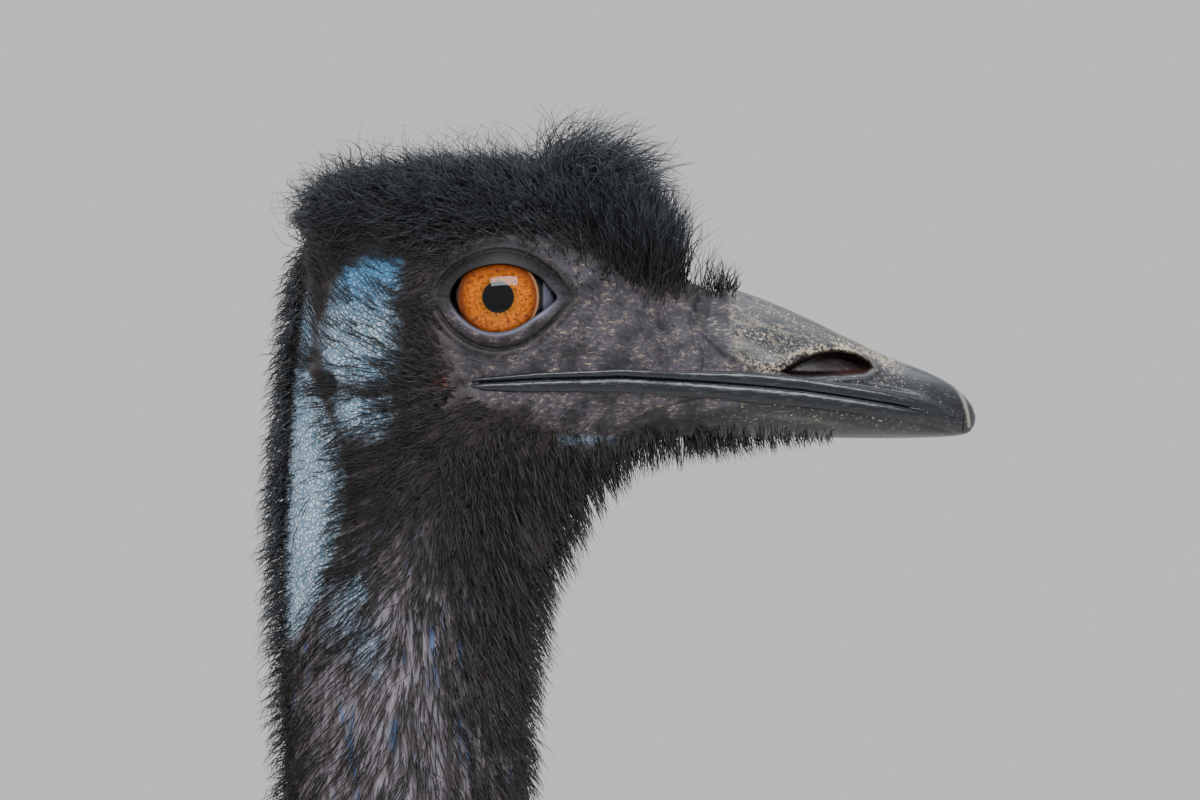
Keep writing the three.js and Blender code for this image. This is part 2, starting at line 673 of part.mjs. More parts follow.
const crestLie = (p, n) => laid(vec(0.45, Math.sign(p.y) * 0.25, 1), n, 0.6);

function crownLie(p, n) {
  const nape = smooth(-p.x, 34, 48);
  return laid(vec(-0.85, Math.sign(p.y) * 0.3, 0.1 - nape * 1.3), n, 0.85);
}

const coatSpecs = {
  crest: {
    from: 1.6, to: 3.5, rows: 3, perSide: 2, arc: [4, 62], jitter: 8, slip: 0.4, sway: 0.6,
    length: [14, 20], width: 9, thick: 1.8, sink: 2.6, steps: 3, lift: [1.6, [5, 8]], lie: crestLie,
  },
  crown: {
    from: 4.5, to: 11, rows: 5, perSide: 3, arc: [3, 64], jitter: 7, slip: 0.35, sway: 0.6,
    length: [22, 20], width: 11.5, thick: 1.8, sink: 2.6, steps: 3, lift: [1.6, [6, 4.4]], lie: crownLie,
  },
  beard: {
    from: 2.6, to: 10, rows: 4, perSide: 2, arc: [178, 132], jitter: 8, slip: 0.3, sway: 0.3,
    length: [12, 18], width: 11.5, thick: 1.7, sink: 2.4, steps: 2, lift: [1.2, 4], lie: throatLie,
  },
  nape: {
    from: 12.8, to: 17.1, rows: 4, perSide: 2, arc: [3, 62], jitter: 8, slip: 0.2, sway: 0.3,
    length: 32, width: 14, thick: 2.2, sink: 2.8, steps: 2, lift: [1.4, 4.6], lie: neckLie,
  },
  midNeck: {
    from: 18.7, to: 21.4, rows: 3, perSide: 3, arc: [3, 177], jitter: 9, slip: 0.2, sway: 0.3,
    length: [60, 78], width: [27, 36], thick: [3, 4], sink: [4, 6], steps: 3, lift: [[2, 4], [7, 11]],
    lie: neckLie,
  },
  lowNeck: {
    from: 22.5, to: 24.2, rows: 3, perSide: 4, arc: [3, 177], jitter: 9, slip: 0.15, sway: 0.3,
    length: [95, 135], width: [42, 60], thick: [5, 7], sink: [7, 10], steps: 4, lift: [[5, 8], [15, 22]],
    lie: neckLie,
  },
  torso: {
    from: 25.4, to: 32.5, rows: 6, perSide: 5, arc: [1, [150, 116]], jitter: 6, slip: 0.3, sway: 0.35,
    length: [165, 230], width: [60, 70], thick: 8, sink: 12, steps: 4, lift: [8, [24, 31]], lie: bodyLie,
  },
  breast: {
    from: 25, to: 28.8, rows: 4, perSide: 1, arc: [182, 154], jitter: 4, slip: 0.2, sway: 0.2,
    length: [170, 190], width: [66, 84], thick: 8, sink: 12, steps: 4, lift: [8, 24], lie: bodyLie,
  },
  tail: {
    from: 33.7, to: 35.5, rows: 2, perSide: [4, 3], arc: [4, 118], jitter: 8, slip: 0.2, sway: 0.3,
    length: 230, width: 64, thick: 8, sink: 11, steps: 4, lift: [8, 31], lie: bodyLie,
  },
  thigh: {
    from: 0.46, to: 0.8, rows: 2, around: [7, 6], jitter: 0.15, slip: 8, sway: 0.2,
    length: [128, 82], width: [52, 42], thick: [7, 5], sink: [9, 7], steps: 3, lift: [5, 15], lie: legLie,
  },
};

// Build the nodes

const random = randomFrom(seedStart);
const coarseBody = loftOf(formRings(bodyRails, 0, formEnd, 0.5, 24));
const legs = Object.fromEntries(Object.entries(legSides).map(([name, side]) => [name, legLevels(side)]));
const thighCores = Object.fromEntries(
  Object.entries(legs).map(([name, levels]) => [name, smoothLevels(levels.thigh, 7)]),
);
const bodyProbe = probeOf([coarseBody]);
const legForms = Object.entries(thighCores).flatMap(([name, levels]) => [
  limbOf(levels, 12),
  limbOf(smoothLevels(legs[name].shin, 6), 10),
]);
const skirtProbe = probeOf([coarseBody, ...legForms]);

const headAndNeck = ["crest", "crown", "beard", "nape", "midNeck", "lowNeck"];
const coats = Object.fromEntries(
  [...headAndNeck, "torso", "breast", "tail"].map((name) => {
    const probe = headAndNeck.includes(name) ? bodyProbe : skirtProbe;
    return [name, growCoat(coatSpecs[name], probe, random)];
  }),
);
for (const [name, side] of Object.entries(legSides)) {
  coats[`thigh_${name}`] = growLegCoat(coatSpecs.thigh, thighCores[name], side, skirtProbe, random);
}

function headSolid() {
  const core = formSlice(bodyRails, 0, headEnd, 0.667, 24);
  const geometry = geometryOf(core);
  const pieces = [core, ...["crest", "crown", "beard"].flatMap((name) => coatSolids(coats[name]))];
  for (const side of [1, -1]) {
    pieces.push(lidSolid(side), lipSolid(geometry, side, true), lipSolid(geometry, side, false));
  }
  let head = joined(pieces);
  for (const side of [1, -1]) {
    head = head.subtract(eyePlug(side, meetGap));
    head = head.subtract(ellipsoid(ear.at, [ear.radius, ear.radius, ear.radius], side));
  }
  return head;
}

function billHalves() {
  const whole = loftOf(formRings(billRails, 0, billForm.length - 1, 0.64, 20));
  const line = mouthLine.slice(2);
  const offset = line.map(([x, z], k) => {
    const [ax, az] = line[Math.max(0, k - 1)];
    const [bx, bz] = line[Math.min(line.length - 1, k + 1)];
    const n = new THREE.Vector2(-(bz - az), bx - ax).normalize().multiplyScalar(mouthSlit / 2);
    return [new THREE.Vector2(x, z).add(n), new THREE.Vector2(x, z).sub(n)];
  });
  const outline = [...offset.map((o) => o[0]), ...offset.map((o) => o[1]).reverse()];
  const sheet = new THREE.ExtrudeGeometry(new THREE.Shape(outline), { depth: 60, bevelEnabled: false });
  sheet.rotateX(Math.PI / 2).translate(0, 30, 0);
  const slit = solidFromGeometry(sheet);
  const parts = whole.subtract(slit).decompose().sort((a, b) => b.volume() - a.volume()).slice(0, 2);
  const highest = (solid) => solid.boundingBox().max[2];
  const [upper, lower] = highest(parts[0]) > highest(parts[1]) ? parts : [parts[1], parts[0]];
  const openings = [1, -1].map((side) => ellipsoid(nostril.at, nostril.reach, side));
  return { upper: upper.subtract(joined(openings)), lower };
}

const solids = {};
solids.head = headSolid();
const bill = billHalves();
solids.bill_upper = bill.upper;
solids.bill_lower = bill.lower;
solids.eye_left = eyePlug(1, 0);
solids.eye_right = eyePlug(-1, 0);
const clearOf = (...names) =>
  joined(names.flatMap((name) => [0, 0.5, 1].flatMap((share) => coatSolids(coats[name], lockRoom * share))));
const neckUpper = joined([formSlice(bodyRails, headEnd, neckMiddle, 1, 20), ...coatSolids(coats.nape)]);
solids.neck_upper = neckUpper.subtract(clearOf("crown", "beard"));
const neckMid = joined([formSlice(bodyRails, neckMiddle, neckFlare, 0.75, 20), ...coatSolids(coats.midNeck)]);
solids.neck_middle = neckMid.subtract(clearOf("nape"));
const neckLow = joined([formSlice(bodyRails, neckFlare, neckEnd, 0.75, 20), ...coatSolids(coats.lowNeck)]);
solids.neck_lower = neckLow.subtract(clearOf("midNeck"));
const torsoClear = loftOf(formRings(bodyRails, neckEnd, tailStart, 0.75, 24, meetGap));
const torsoLocks = [...coatSolids(coats.torso), ...coatSolids(coats.breast)];
const torso = joined([formSlice(bodyRails, neckEnd, tailStart, 0.75, 24), ...torsoLocks]);
solids.torso = torso.subtract(clearOf("lowNeck"));
const tail = joined([formSlice(bodyRails, tailStart, formEnd, 0.75, 22), ...coatSolids(coats.tail)]);
solids.tail = tail.subtract(torsoClear).subtract(clearOf("torso"));

for (const [name, side] of Object.entries(legSides)) {
  const foot = footAt(side);
  const ankle = vec(foot.x, foot.y, 0);
  const thigh = joined([limbOf(thighCores[name], 12), ...coatSolids(coats[`thigh_${name}`])]);
  const shinClear = limbOf(plateLevels(legs[name].shin, shinPlates), 10, meetGap);
  solids[`thigh_${name}`] = thigh.subtract(joined([torsoClear, shinClear, clearOf("torso", "breast")]));
  solids[`shin_${name}`] = limbOf(plateLevels(legs[name].shin, shinPlates), 10);
  const footParts = [limbOf(smoothLevels(legs[name].ankle, 4), 12)];
  for (const [toeName, toe] of Object.entries(toes)) {
    const heading = THREE.MathUtils.degToRad(toe.turn) * side;
    footParts.push(loftOf(archRings(ankle, heading, toeStops(toe), 8)));
    solids[`claw_${toeName}_${name}`] = loftOf(archRings(ankle, heading, clawStops(toe), 7));
  }
  solids[`foot_${name}`] = joined(footParts);
}

const looks = {
  skin: { color: 0x6f7077, roughness: 0.7 },
  horn: { color: 0x3c3d42, roughness: 0.45 },
  iris: { color: 0xc86414, roughness: 0.1 },
  plumage: { color: 0x4d4136, roughness: 0.9 },
  scales: { color: 0x3f3833, roughness: 0.65 },
};
const lookOf = {
  head: "skin",
  neck: "plumage",
  torso: "plumage",
  tail: "plumage",
  thigh: "plumage",
  shin: "scales",
  foot: "scales",
  bill: "horn",
  claw: "horn",
  eye: "iris",
};

const emu = new THREE.Group();
for (const [name, solid] of Object.entries(solids)) {
  const look = looks[lookOf[name.split("_")[0]]];
  const mesh = new THREE.Mesh(geometryOf(largestOf(solid)), new THREE.MeshStandardMaterial(look));
  mesh.name = name;
  emu.add(mesh);
}

// Stand it on the floor with its box centred over the origin
const box = new THREE.Box3().setFromObject(emu);
emu.position.set(-(box.min.x + box.max.x) / 2, -(box.min.y + box.max.y) / 2, -box.min.z);

export default emu;
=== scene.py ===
import math

import bpy
import numpy as np
from mathutils import Matrix, Vector
from mathutils.bvhtree import BVHTree


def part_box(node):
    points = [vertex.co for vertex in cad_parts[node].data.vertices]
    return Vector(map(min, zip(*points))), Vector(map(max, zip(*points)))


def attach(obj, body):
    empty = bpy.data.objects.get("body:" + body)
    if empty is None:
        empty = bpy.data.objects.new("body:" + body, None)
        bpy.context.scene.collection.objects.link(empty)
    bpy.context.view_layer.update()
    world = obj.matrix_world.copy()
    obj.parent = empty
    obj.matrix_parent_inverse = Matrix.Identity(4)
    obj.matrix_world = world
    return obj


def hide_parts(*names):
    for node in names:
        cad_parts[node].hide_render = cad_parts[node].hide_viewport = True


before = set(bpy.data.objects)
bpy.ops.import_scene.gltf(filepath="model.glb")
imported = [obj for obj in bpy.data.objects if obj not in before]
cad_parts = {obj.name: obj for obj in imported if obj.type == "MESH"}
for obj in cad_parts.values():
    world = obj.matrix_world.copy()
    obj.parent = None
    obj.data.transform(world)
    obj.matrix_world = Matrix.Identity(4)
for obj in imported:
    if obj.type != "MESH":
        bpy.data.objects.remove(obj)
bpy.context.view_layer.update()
print("frame loaded,", len(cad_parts), "nodes")

# Shapes are worked out in millimetres from the middle of the eye, on the middle plane:
# x ahead, y to the bird's left, z up. toWorld puts them in the frame's metres.
eyeHeight = 1600
mm = 0.001
eyeBoxes = [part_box("eye_right"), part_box("eye_left")]
origin = np.array([
    (eyeBoxes[0][0].x + eyeBoxes[0][1].x) / 2,
    (eyeBoxes[0][0].y + eyeBoxes[1][1].y) / 2,
    eyeHeight * mm,
])

# Body form along 37 stations from the bill's base to the tail: x and z of the back line, x and z
# of the front line, half width, where it is widest, how square the two ends are, coat's core.
bodyForm = np.array([
    [52.6, 2.2, 47.2, -34.2, 17.6, 0.6, 1.9, 2.1, 0.2],
    [42.5, 6.5, 41.5, -34.8, 20, 0.56, 1.9, 2, 0.4],
    [37, 15, 35.5, -36.2, 23, 0.52, 2, 2, 0.8],
    [27, 23.5, 29.5, -39.8, 26, 0.46, 2.2, 1.8, 1],
    [14.8, 28, 24, -45.2, 28.6, 0.41, 2.3, 1.7, 1],
    [2.3, 29.8, 19.2, -51, 30.2, 0.39, 2.3, 1.7, 1],
    [-11.5, 30, 15.3, -57, 31, 0.39, 2.3, 1.7, 1],
    [-25.3, 29.2, 12.2, -63, 31, 0.41, 2.2, 1.8, 1],
    [-37.3, 26, 10, -69.2, 30.6, 0.44, 2.1, 1.9, 1],
    [-44.8, 19.5, 8.5, -75.2, 30, 0.47, 2, 2, 1],
    [-48.3, 8.8, 7.3, -81.4, 29.5, 0.5, 2, 2, 1],
    [-50.5, -5, 6.3, -88, 29.5, 0.5, 2, 2, 1],
    [-52.3, -20, 5.5, -95, 29.5, 0.5, 2, 2, 1],
    [-53.5, -37, 5.3, -103.8, 29.5, 0.5, 2, 2, 1],
    [-54.3, -55, 5.3, -113, 29.5, 0.5, 2, 2, 1],
    [-54.3, -80, 5.5, -126, 29.5, 0.5, 2, 2, 1],
    [-52.5, -120, 6.8, -150, 30, 0.5, 2, 2, 1],
    [-50, -165, 9, -185, 30.5, 0.5, 2, 2, 1.2],
    [-47, -220, 12.5, -233, 31.5, 0.5, 2, 2, 2],
    [-44, -285, 18, -292, 33, 0.5, 2, 2, 3],
    [-42, -352, 25, -354, 35, 0.5, 2, 2, 4],
    [-45, -420, 32, -418, 39, 0.5, 2, 2, 6],
    [-57, -485, 37, -484, 46, 0.5, 2, 2, 8],
    [-84, -545, 38, -555, 58, 0.5, 2, 2, 10],
    [-128, -596, 34, -630, 76, 0.52, 2, 2, 13],
    [-186, -630, 22, -712, 100, 0.54, 2, 2, 16],
    [-248, -646, -2, -790, 128, 0.54, 2, 2.1, 18],
    [-310, -648, -46, -858, 150, 0.53, 2, 2.2, 20],
    [-370, -642, -112, -906, 164, 0.52, 2, 2.2, 20],
    [-430, -638, -192, -938, 172, 0.52, 2, 2.2, 20],
    [-490, -640, -280, -958, 173, 0.52, 2, 2.2, 20],
    [-545, -652, -368, -966, 166, 0.52, 2, 2.2, 20],
    [-600, -676, -448, -964, 149, 0.52, 2, 2.1, 18],
    [-648, -710, -520, -950, 124, 0.52, 2, 2, 16],
    [-684, -752, -584, -926, 96, 0.5, 2, 2, 14],
    [-708, -796, -638, -898, 66, 0.5, 2, 2, 12],
    [-722, -836, -684, -876, 36, 0.5, 2, 2, 8],
])
billForm = np.array([
    [52.9, 2.2, 47.5, -34.2, 17.6, 0.6, 1.9, 2.1, 0],
    [58, 2.6, 55.5, -34.4, 17.9, 0.63, 1.9, 2.1, 0],
    [65, 0.4, 64.5, -34.2, 17.2, 0.63, 1.8, 2.2, 0],
    [75, -3.8, 75, -34.3, 15.9, 0.62, 1.7, 2.3, 0],
    [87, -9.6, 87, -34.5, 13.8, 0.6, 1.7, 2.3, 0],
    [97, -14.3, 97, -34.6, 11.5, 0.58, 1.8, 2.3, 0],
    [107, -18.2, 107, -34.4, 8.7, 0.57, 1.9, 2.2, 0],
    [113.5, -21.8, 113.3, -34, 6.2, 0.55, 2, 2.1, 0],
    [117.2, -25.6, 116.8, -33.2, 3.6, 0.5, 2, 2, 0],
    [118.6, -28.6, 118.3, -31.4, 1.2, 0.5, 2, 2, 0],
])
lastStation = len(bodyForm) - 1
mouthLine = np.array([
    [-9, -20.9], [-7, -20.8], [10, -19.8], [30, -19.2], [47, -20.2], [65, -21.6], [75, -22.6],
    [87, -24.4], [97, -26], [107, -27.8], [112.6, -29.4], [115, -31.6], [115.6, -37],
])
sides = {"right": -1, "left": 1}


def toWorld(points):
    return np.asarray(points) * mm + origin


def unit(v):
    return v / np.maximum(np.linalg.norm(v, axis=-1, keepdims=True), 1e-9)


def dot(a, b):
    return (a * b).sum(-1, keepdims=True)


def mix(a, b, t):
    return a + (b - a) * t


def smooth(x, low, high):
    t = np.clip((np.asarray(x, float) - low) / (high - low), 0, 1)
    return t * t * (3 - 2 * t)


def bell(x, middle, reach):
    return np.exp(-(((x - middle) / reach) ** 2))


def splineAt(points, t):
    padded = np.vstack([2 * points[0] - points[1], points, 2 * points[-1] - points[-2]])
    first = np.clip(np.floor(t).astype(int), 0, len(points) - 2)
    w = (t - first)[..., None]
    a, b, c, d = (padded[first + k] for k in range(4))
    leave, arrive = (c - a) / 2, (d - b) / 2
    return b + w * (leave + w * (3 * c - 3 * b - 2 * leave - arrive + w * (2 * b - 2 * c + leave + arrive)))


def closedSpline(points, count):
    wrapped = np.vstack([points[-3:], points, points[:3]])
    return splineAt(wrapped, 3 + np.arange(count) / count * len(points))


# Signed distance to a closed outline in side view, positive inside it
def insideBy(p, outline):
    start, end = outline, np.roll(outline, -1, axis=0)
    edge = end - start
    away = p[..., None, :] - start
    share = np.clip((away * edge).sum(-1) / (edge ** 2).sum(-1), 0, 1)
    near = np.linalg.norm(away - share[..., None] * edge, axis=-1).min(-1)
    crossing = (start[:, 1] > p[..., 1, None]) != (end[:, 1] > p[..., 1, None])
    rise = np.where(np.abs(edge[:, 1]) < 1e-9, 1e-9, edge[:, 1])
    reach = start[:, 0] + (p[..., 1, None] - start[:, 1]) * edge[:, 0] / rise
    within = (crossing & (p[..., 0, None] < reach)).sum(-1) % 2 == 1
    return np.where(within, near, -near)


def lineDistance(p, line):
    start, edge = line[:-1], np.diff(line, axis=0)
    away = p[..., None, :] - start
    share = np.clip((away * edge).sum(-1) / (edge ** 2).sum(-1), 0, 1)
    return np.linalg.norm(away - share[..., None] * edge, axis=-1).min(-1)


# Low swellings and hollows of the face, as in the solids: middle, reach, how far out
faceRelief = [
    [(2, 14), (15, 5), 2], [(26, -6), (12, 9), -1.6], [(-6, -30), (16, 8), 1.6],
    [(-28, -4), (10, 12), -1.2], [(60, -8), (9, 6), 1.6],
]


def formPoints(form, station, angle, grow=0.0):
    f = splineAt(form, station)
    zero = np.zeros_like(f[..., 0])
    back = np.stack([f[..., 0], zero, f[..., 1]], -1)
    front = np.stack([f[..., 2], zero, f[..., 3]], -1)
    out = unit(back - front) * np.asarray(grow)[..., None]
    back, front = back + out, front - out
    middle = mix(back, front, f[..., 5:6])
    c, s = np.cos(angle), np.sin(angle)
    square = np.where(c > 0, f[..., 6], f[..., 7])
    along = np.abs(c) ** (2 / square)
    across = np.abs(s) ** (2 / square) * np.sign(s)
    point = mix(middle, np.where((c > 0)[..., None], back, front), along[..., None])
    relief = sum(
        out * np.exp(-(((point[..., 0] - at[0]) / reach[0]) ** 2) - ((point[..., 2] - at[1]) / reach[1]) ** 2)
        for at, reach, out in faceRelief
    )
    point[..., 1] = (f[..., 4] + grow) * across + relief * across * np.abs(across)
    return point


# Place, outward normal and the two surface directions of the bare skin
def skinAt(station, angle):
    step = 0.01
    point = formPoints(bodyForm, station, angle)
    alongForm = (
        formPoints(bodyForm, np.minimum(station + step, lastStation), angle)
        - formPoints(bodyForm, np.maximum(station - step, 0), angle)
    ) / (2 * step)
    aroundForm = (
        formPoints(bodyForm, station, angle + step) - formPoints(bodyForm, station, angle - step)
    ) / (2 * step)
    normal = unit(np.cross(alongForm, aroundForm))
    f = splineAt(bodyForm, station)
    inside = np.stack([(f[..., 0] + f[..., 2]) / 2, f[..., 0] * 0, (f[..., 1] + f[..., 3]) / 2], -1)
    normal = np.where(dot(normal, point - inside) < 0, -normal, normal)
    return point, normal, alongForm, aroundForm


def linear(hexText):
    channels = [int(hexText[i:i + 2], 16) / 255 for i in (1, 3, 5)]
    return [c / 12.92 if c <= 0.04045 else ((c + 0.055) / 1.055) ** 2.4 for c in channels] + [1.0]


# One node: inputs by number or name (a socket, a number or a hex colour), the rest its settings
def addNode(tree, kind, inputs=None, output=0, **settings):
    made = tree.nodes.new("ShaderNode" + kind)
    for name, value in settings.items():
        setattr(made, name, value)
    for name, value in (inputs or {}).items():
        if isinstance(value, bpy.types.NodeSocket):
            tree.links.new(value, made.inputs[name])
        else:
            made.inputs[name].default_value = linear(value) if isinstance(value, str) else value
    return made.outputs[output]


# Colours laid over one another. A layer is its source, then from where to where and up to how much
# the colour comes in (without these the source is the share itself), then the colour.
def layered(tree, tone, *layers, interpolation="LINEAR"):
    for source, *span, top in layers:
        if span:
            ramp = dict(zip((1, 2, 4), span))
            source = addNode(tree, "MapRange", {0: source, **ramp}, interpolation_type=interpolation)
        tone = addNode(tree, "Mix", {0: source, 6: tone, 7: top}, output=2, data_type="RGBA")
    return tone


# A material with its shader and a place in millimetres for its patterns
def startMaterial(name, **constants):
    made = bpy.data.materials.new(name)
    made.use_nodes = True
    tree = made.node_tree
    shader = tree.nodes["Principled BSDF"]
    for socket, value in constants.items():
        shader.inputs[socket.replace("_", " ")].default_value = value
    coordinates = addNode(tree, "TexCoord", output="Object")
    place = addNode(tree, "VectorMath", {0: coordinates, "Scale": 1 / mm}, operation="SCALE")
    return made, tree, shader, place


# The colour, and a relief of so many millimetres where there is one
def surface(tree, shader, tone, height=None, strength=0.0, depth=0.0):
    tree.links.new(tone, shader.inputs["Base Color"])
    if height is not None:
        relief = addNode(tree, "Bump", {"Height": height, "Strength": strength, "Distance": depth * mm})
        tree.links.new(relief, shader.inputs["Normal"])


def masksOf(tree, names):
    return {key: addNode(tree, "Attribute", output="Fac", attribute_name=key) for key in names}


# Meshes

def outwards(points, triangles):
    a, b, c = (points[triangles[:, k]] for k in range(3))
    return triangles if (a * np.cross(b, c)).sum() > 0 else triangles[:, ::-1]


# Rings joined one to the next, with fans over both ends; looped joins the last to the first
def loft(rings, looped=False):
    count, around = rings.shape[:2]
    index = np.arange(count * around).reshape(count, around)
    beside = np.roll(index, -1, axis=1)
    ahead, aheadBeside = np.roll(index, -1, axis=0), np.roll(beside, -1, axis=0)
    stop = count if looped else count - 1
    quads = [index[:stop], beside[:stop], aheadBeside[:stop], ahead[:stop]]
    triangles = [np.stack([quads[0], quads[1], quads[2]], -1), np.stack([quads[0], quads[2], quads[3]], -1)]
    points = rings.reshape(-1, 3)
    if not looped:
        ends = np.array([count * around, count * around + 1])
        points = np.vstack([points, rings[0].mean(0), rings[-1].mean(0)])
        triangles.append(np.stack([beside[0], index[0], np.full(around, ends[0])], -1))
        triangles.append(np.stack([index[-1], beside[-1], np.full(around, ends[1])], -1))
    triangles = np.vstack([t.reshape(-1, 3) for t in triangles])
    return points, outwards(points, triangles)


def together(shells):
    points, triangles, start = [], [], 0
    for p, t in shells:
        points.append(p)
        triangles.append(t + start)
        start += len(p)
    return np.vstack(points), np.vstack(triangles)


sharpAngle = 58


def makePiece(name, points, triangles, materials, slot, attributes=None, uv=None, replaces=(), faceMaterial=None):
    mesh = bpy.data.meshes.new(name)
    mesh.vertices.add(len(points))
    mesh.vertices.foreach_set("co", toWorld(points).astype(np.float32).ravel())
    mesh.loops.add(triangles.size)
    mesh.loops.foreach_set("vertex_index", triangles.astype(np.int32).ravel())
    mesh.polygons.add(len(triangles))
    mesh.polygons.foreach_set("loop_start", np.arange(0, triangles.size, 3, dtype=np.int32))
    mesh.polygons.foreach_set("use_smooth", np.ones(len(triangles), bool))
    if faceMaterial is not None:
        mesh.polygons.foreach_set("material_index", faceMaterial.astype(np.int32))
    for key, values in (attributes or {}).items():
        mesh.attributes.new(key, "FLOAT", "POINT").data.foreach_set("value", values.astype(np.float32))
    if uv is not None:
        mesh.uv_layers.new(name="OFBake").data.foreach_set("uv", uv[triangles].astype(np.float32).ravel())
    for m in materials:
        mesh.materials.append(m)
    mesh.update(calc_edges=True)
    made = bpy.data.objects.new(name, mesh)
    bpy.context.scene.collection.objects.link(made)
    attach(made, "root")
    if replaces:
        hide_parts(*replaces)
    if uv is None:
        mesh.set_sharp_from_angle(angle=math.radians(sharpAngle))
    return made


# Bare skin of the head and neck: thin living skin, finely pebbled, matt, with pale-blue bare
# patches that crack into small plates and dusty flakes between eye and bill. Sizes in mm.
skinLook = {
    "dark": "#3b3134", "slate": "#4a454d", "slateDeep": "#242026", "mauve": "#544a4d",
    "mauveLight": "#8f8790", "flake": "#c0ac96", "pit": "#121014", "white": "#e6edf3",
    "azure": "#4f93c6", "crack": "#2a6a8c", "glint": "#3f6ea3", "lilac": "#9a98ae",
    "down": "#4b3e32", "sore": "#8e4c3c", "pebble": 0.42, "plate": 1.15, "fleck": 0.78,
    "blotch": 5.5, "streak": 1.1, "glintSize": 4.0, "flakeLean": (0.45, 1, 1), "neckLean": (1, 1, 0.22),
}


# Dusty slate skin between eye and bill, which runs on over the bill's base
def dustyTone(tree, place):
    look = skinLook
    blotch = addNode(tree, "TexNoise", {"Vector": place, "Scale": 1 / look["blotch"], "Detail": 3.0})
    leaned = addNode(tree, "VectorMath", {0: place, 1: look["flakeLean"]}, operation="MULTIPLY")
    fleck = addNode(tree, "TexNoise", {
        "Vector": leaned, "Scale": 1 / look["fleck"], "Detail": 5.0, "Roughness": 0.75, "Distortion": 0.6,
    })
    fleckShare = addNode(tree, "MapRange", {0: fleck, 1: 0.53, 2: 0.67, 4: 0.85})
    patchShare = addNode(tree, "MapRange", {0: blotch, 1: 0.42, 2: 0.6, 3: 0.12})
    flakeShare = addNode(tree, "Math", {0: fleckShare, 1: patchShare}, operation="MULTIPLY")
    tone = layered(
        tree, look["slateDeep"], (blotch, 0.35, 0.62, look["slate"]), (flakeShare, look["flake"]),
        (fleck, 0.46, 0.36, 0.85, look["pit"]),
    )
    return tone, flakeShare, fleck


skinMaskNames = ("blue", "azure", "lores", "mauve", "lilac", "dark", "down", "sore")


def bareSkin():
    look = skinLook
    made, tree, shader, place = startMaterial("bare_bird_skin", Roughness=0.55, IOR=1.42)
    masks = masksOf(tree, skinMaskNames)
    dusty, flakeShare, fleck = dustyTone(tree, place)
    pebble = addNode(tree, "TexVoronoi", {"Vector": place, "Scale": 1 / look["pebble"]})
    wander = addNode(tree, "TexNoise", {"Vector": place, "Scale": 0.7, "Detail": 2.0}, output="Color")
    shifted = addNode(tree, "VectorMath", {0: place, 1: wander}, operation="ADD")
    crack = addNode(
        tree, "TexVoronoi", {"Vector": shifted, "Scale": 1 / look["plate"]}, feature="DISTANCE_TO_EDGE",
    )
    stretched = addNode(tree, "VectorMath", {0: place, 1: look["neckLean"]}, operation="MULTIPLY")
    streak = addNode(tree, "TexNoise", {
        "Vector": stretched, "Scale": 1 / look["streak"], "Detail": 4.0, "Roughness": 0.6,
    })
    glint = addNode(tree, "TexNoise", {"Vector": stretched, "Scale": 1 / look["glintSize"], "Detail": 3.0})
    mauve = layered(
        tree, look["mauve"], (streak, 0.38, 0.62, look["mauveLight"]), (glint, 0.6, 0.68, 0.75, look["glint"]),
    )
    plateShare = addNode(tree, "MapRange", {0: crack, 1: 0.04, 2: 0.3})
    crackShare = addNode(tree, "MapRange", {0: plateShare, 3: 0.85, 4: 0.0})
    azure = addNode(tree, "Math", {0: streak, 1: -0.5, 2: masks["azure"]}, operation="MULTIPLY_ADD")
    blue = layered(tree, look["white"], (azure, -0.25, 0.7, look["azure"]), (crackShare, look["crack"]))
    blueEdge = addNode(tree, "Math", {0: fleck, 1: 0.7, 2: masks["blue"]}, operation="MULTIPLY_ADD")
    tone = layered(
        tree, look["dark"], (masks["lores"], dusty), (masks["mauve"], mauve), (blueEdge, 0.55, 1.15, blue),
        *((masks[key], look[key]) for key in ("lilac", "sore", "down")), (masks["dark"], look["pit"]),
    )
    relief = addNode(tree, "Math", {0: pebble, 1: -0.5}, operation="MULTIPLY")
    height = addNode(tree, "Math", {0: plateShare, 1: masks["blue"], 2: relief}, operation="MULTIPLY_ADD")
    raised = addNode(tree, "Math", {0: flakeShare, 1: masks["lores"], 2: height}, operation="MULTIPLY_ADD")
    surface(tree, shader, tone, raised, 0.9, 0.14)
    return made


# Keratin sheath of the bill: grown horn, worn and dusty, with a dull sheen and fine scratches; its top is painted a
# lighter grey as a painted highlight
billLook = {
    "deep": "#0e1014", "grey": "#24272e", "top": "#3d414a", "flake": "#d2bfa6", "nostrilShade": "#1a0505",
    "cavityFloor": "#4c2d2b", "pale": "#a8a196", "scratch": 0.45, "fleck": 0.7, "blotch": 7.0,
    "chip": 1.7, "scratchLean": (0.12, 1, 1), "chipLean": (0.4, 1, 1),
}


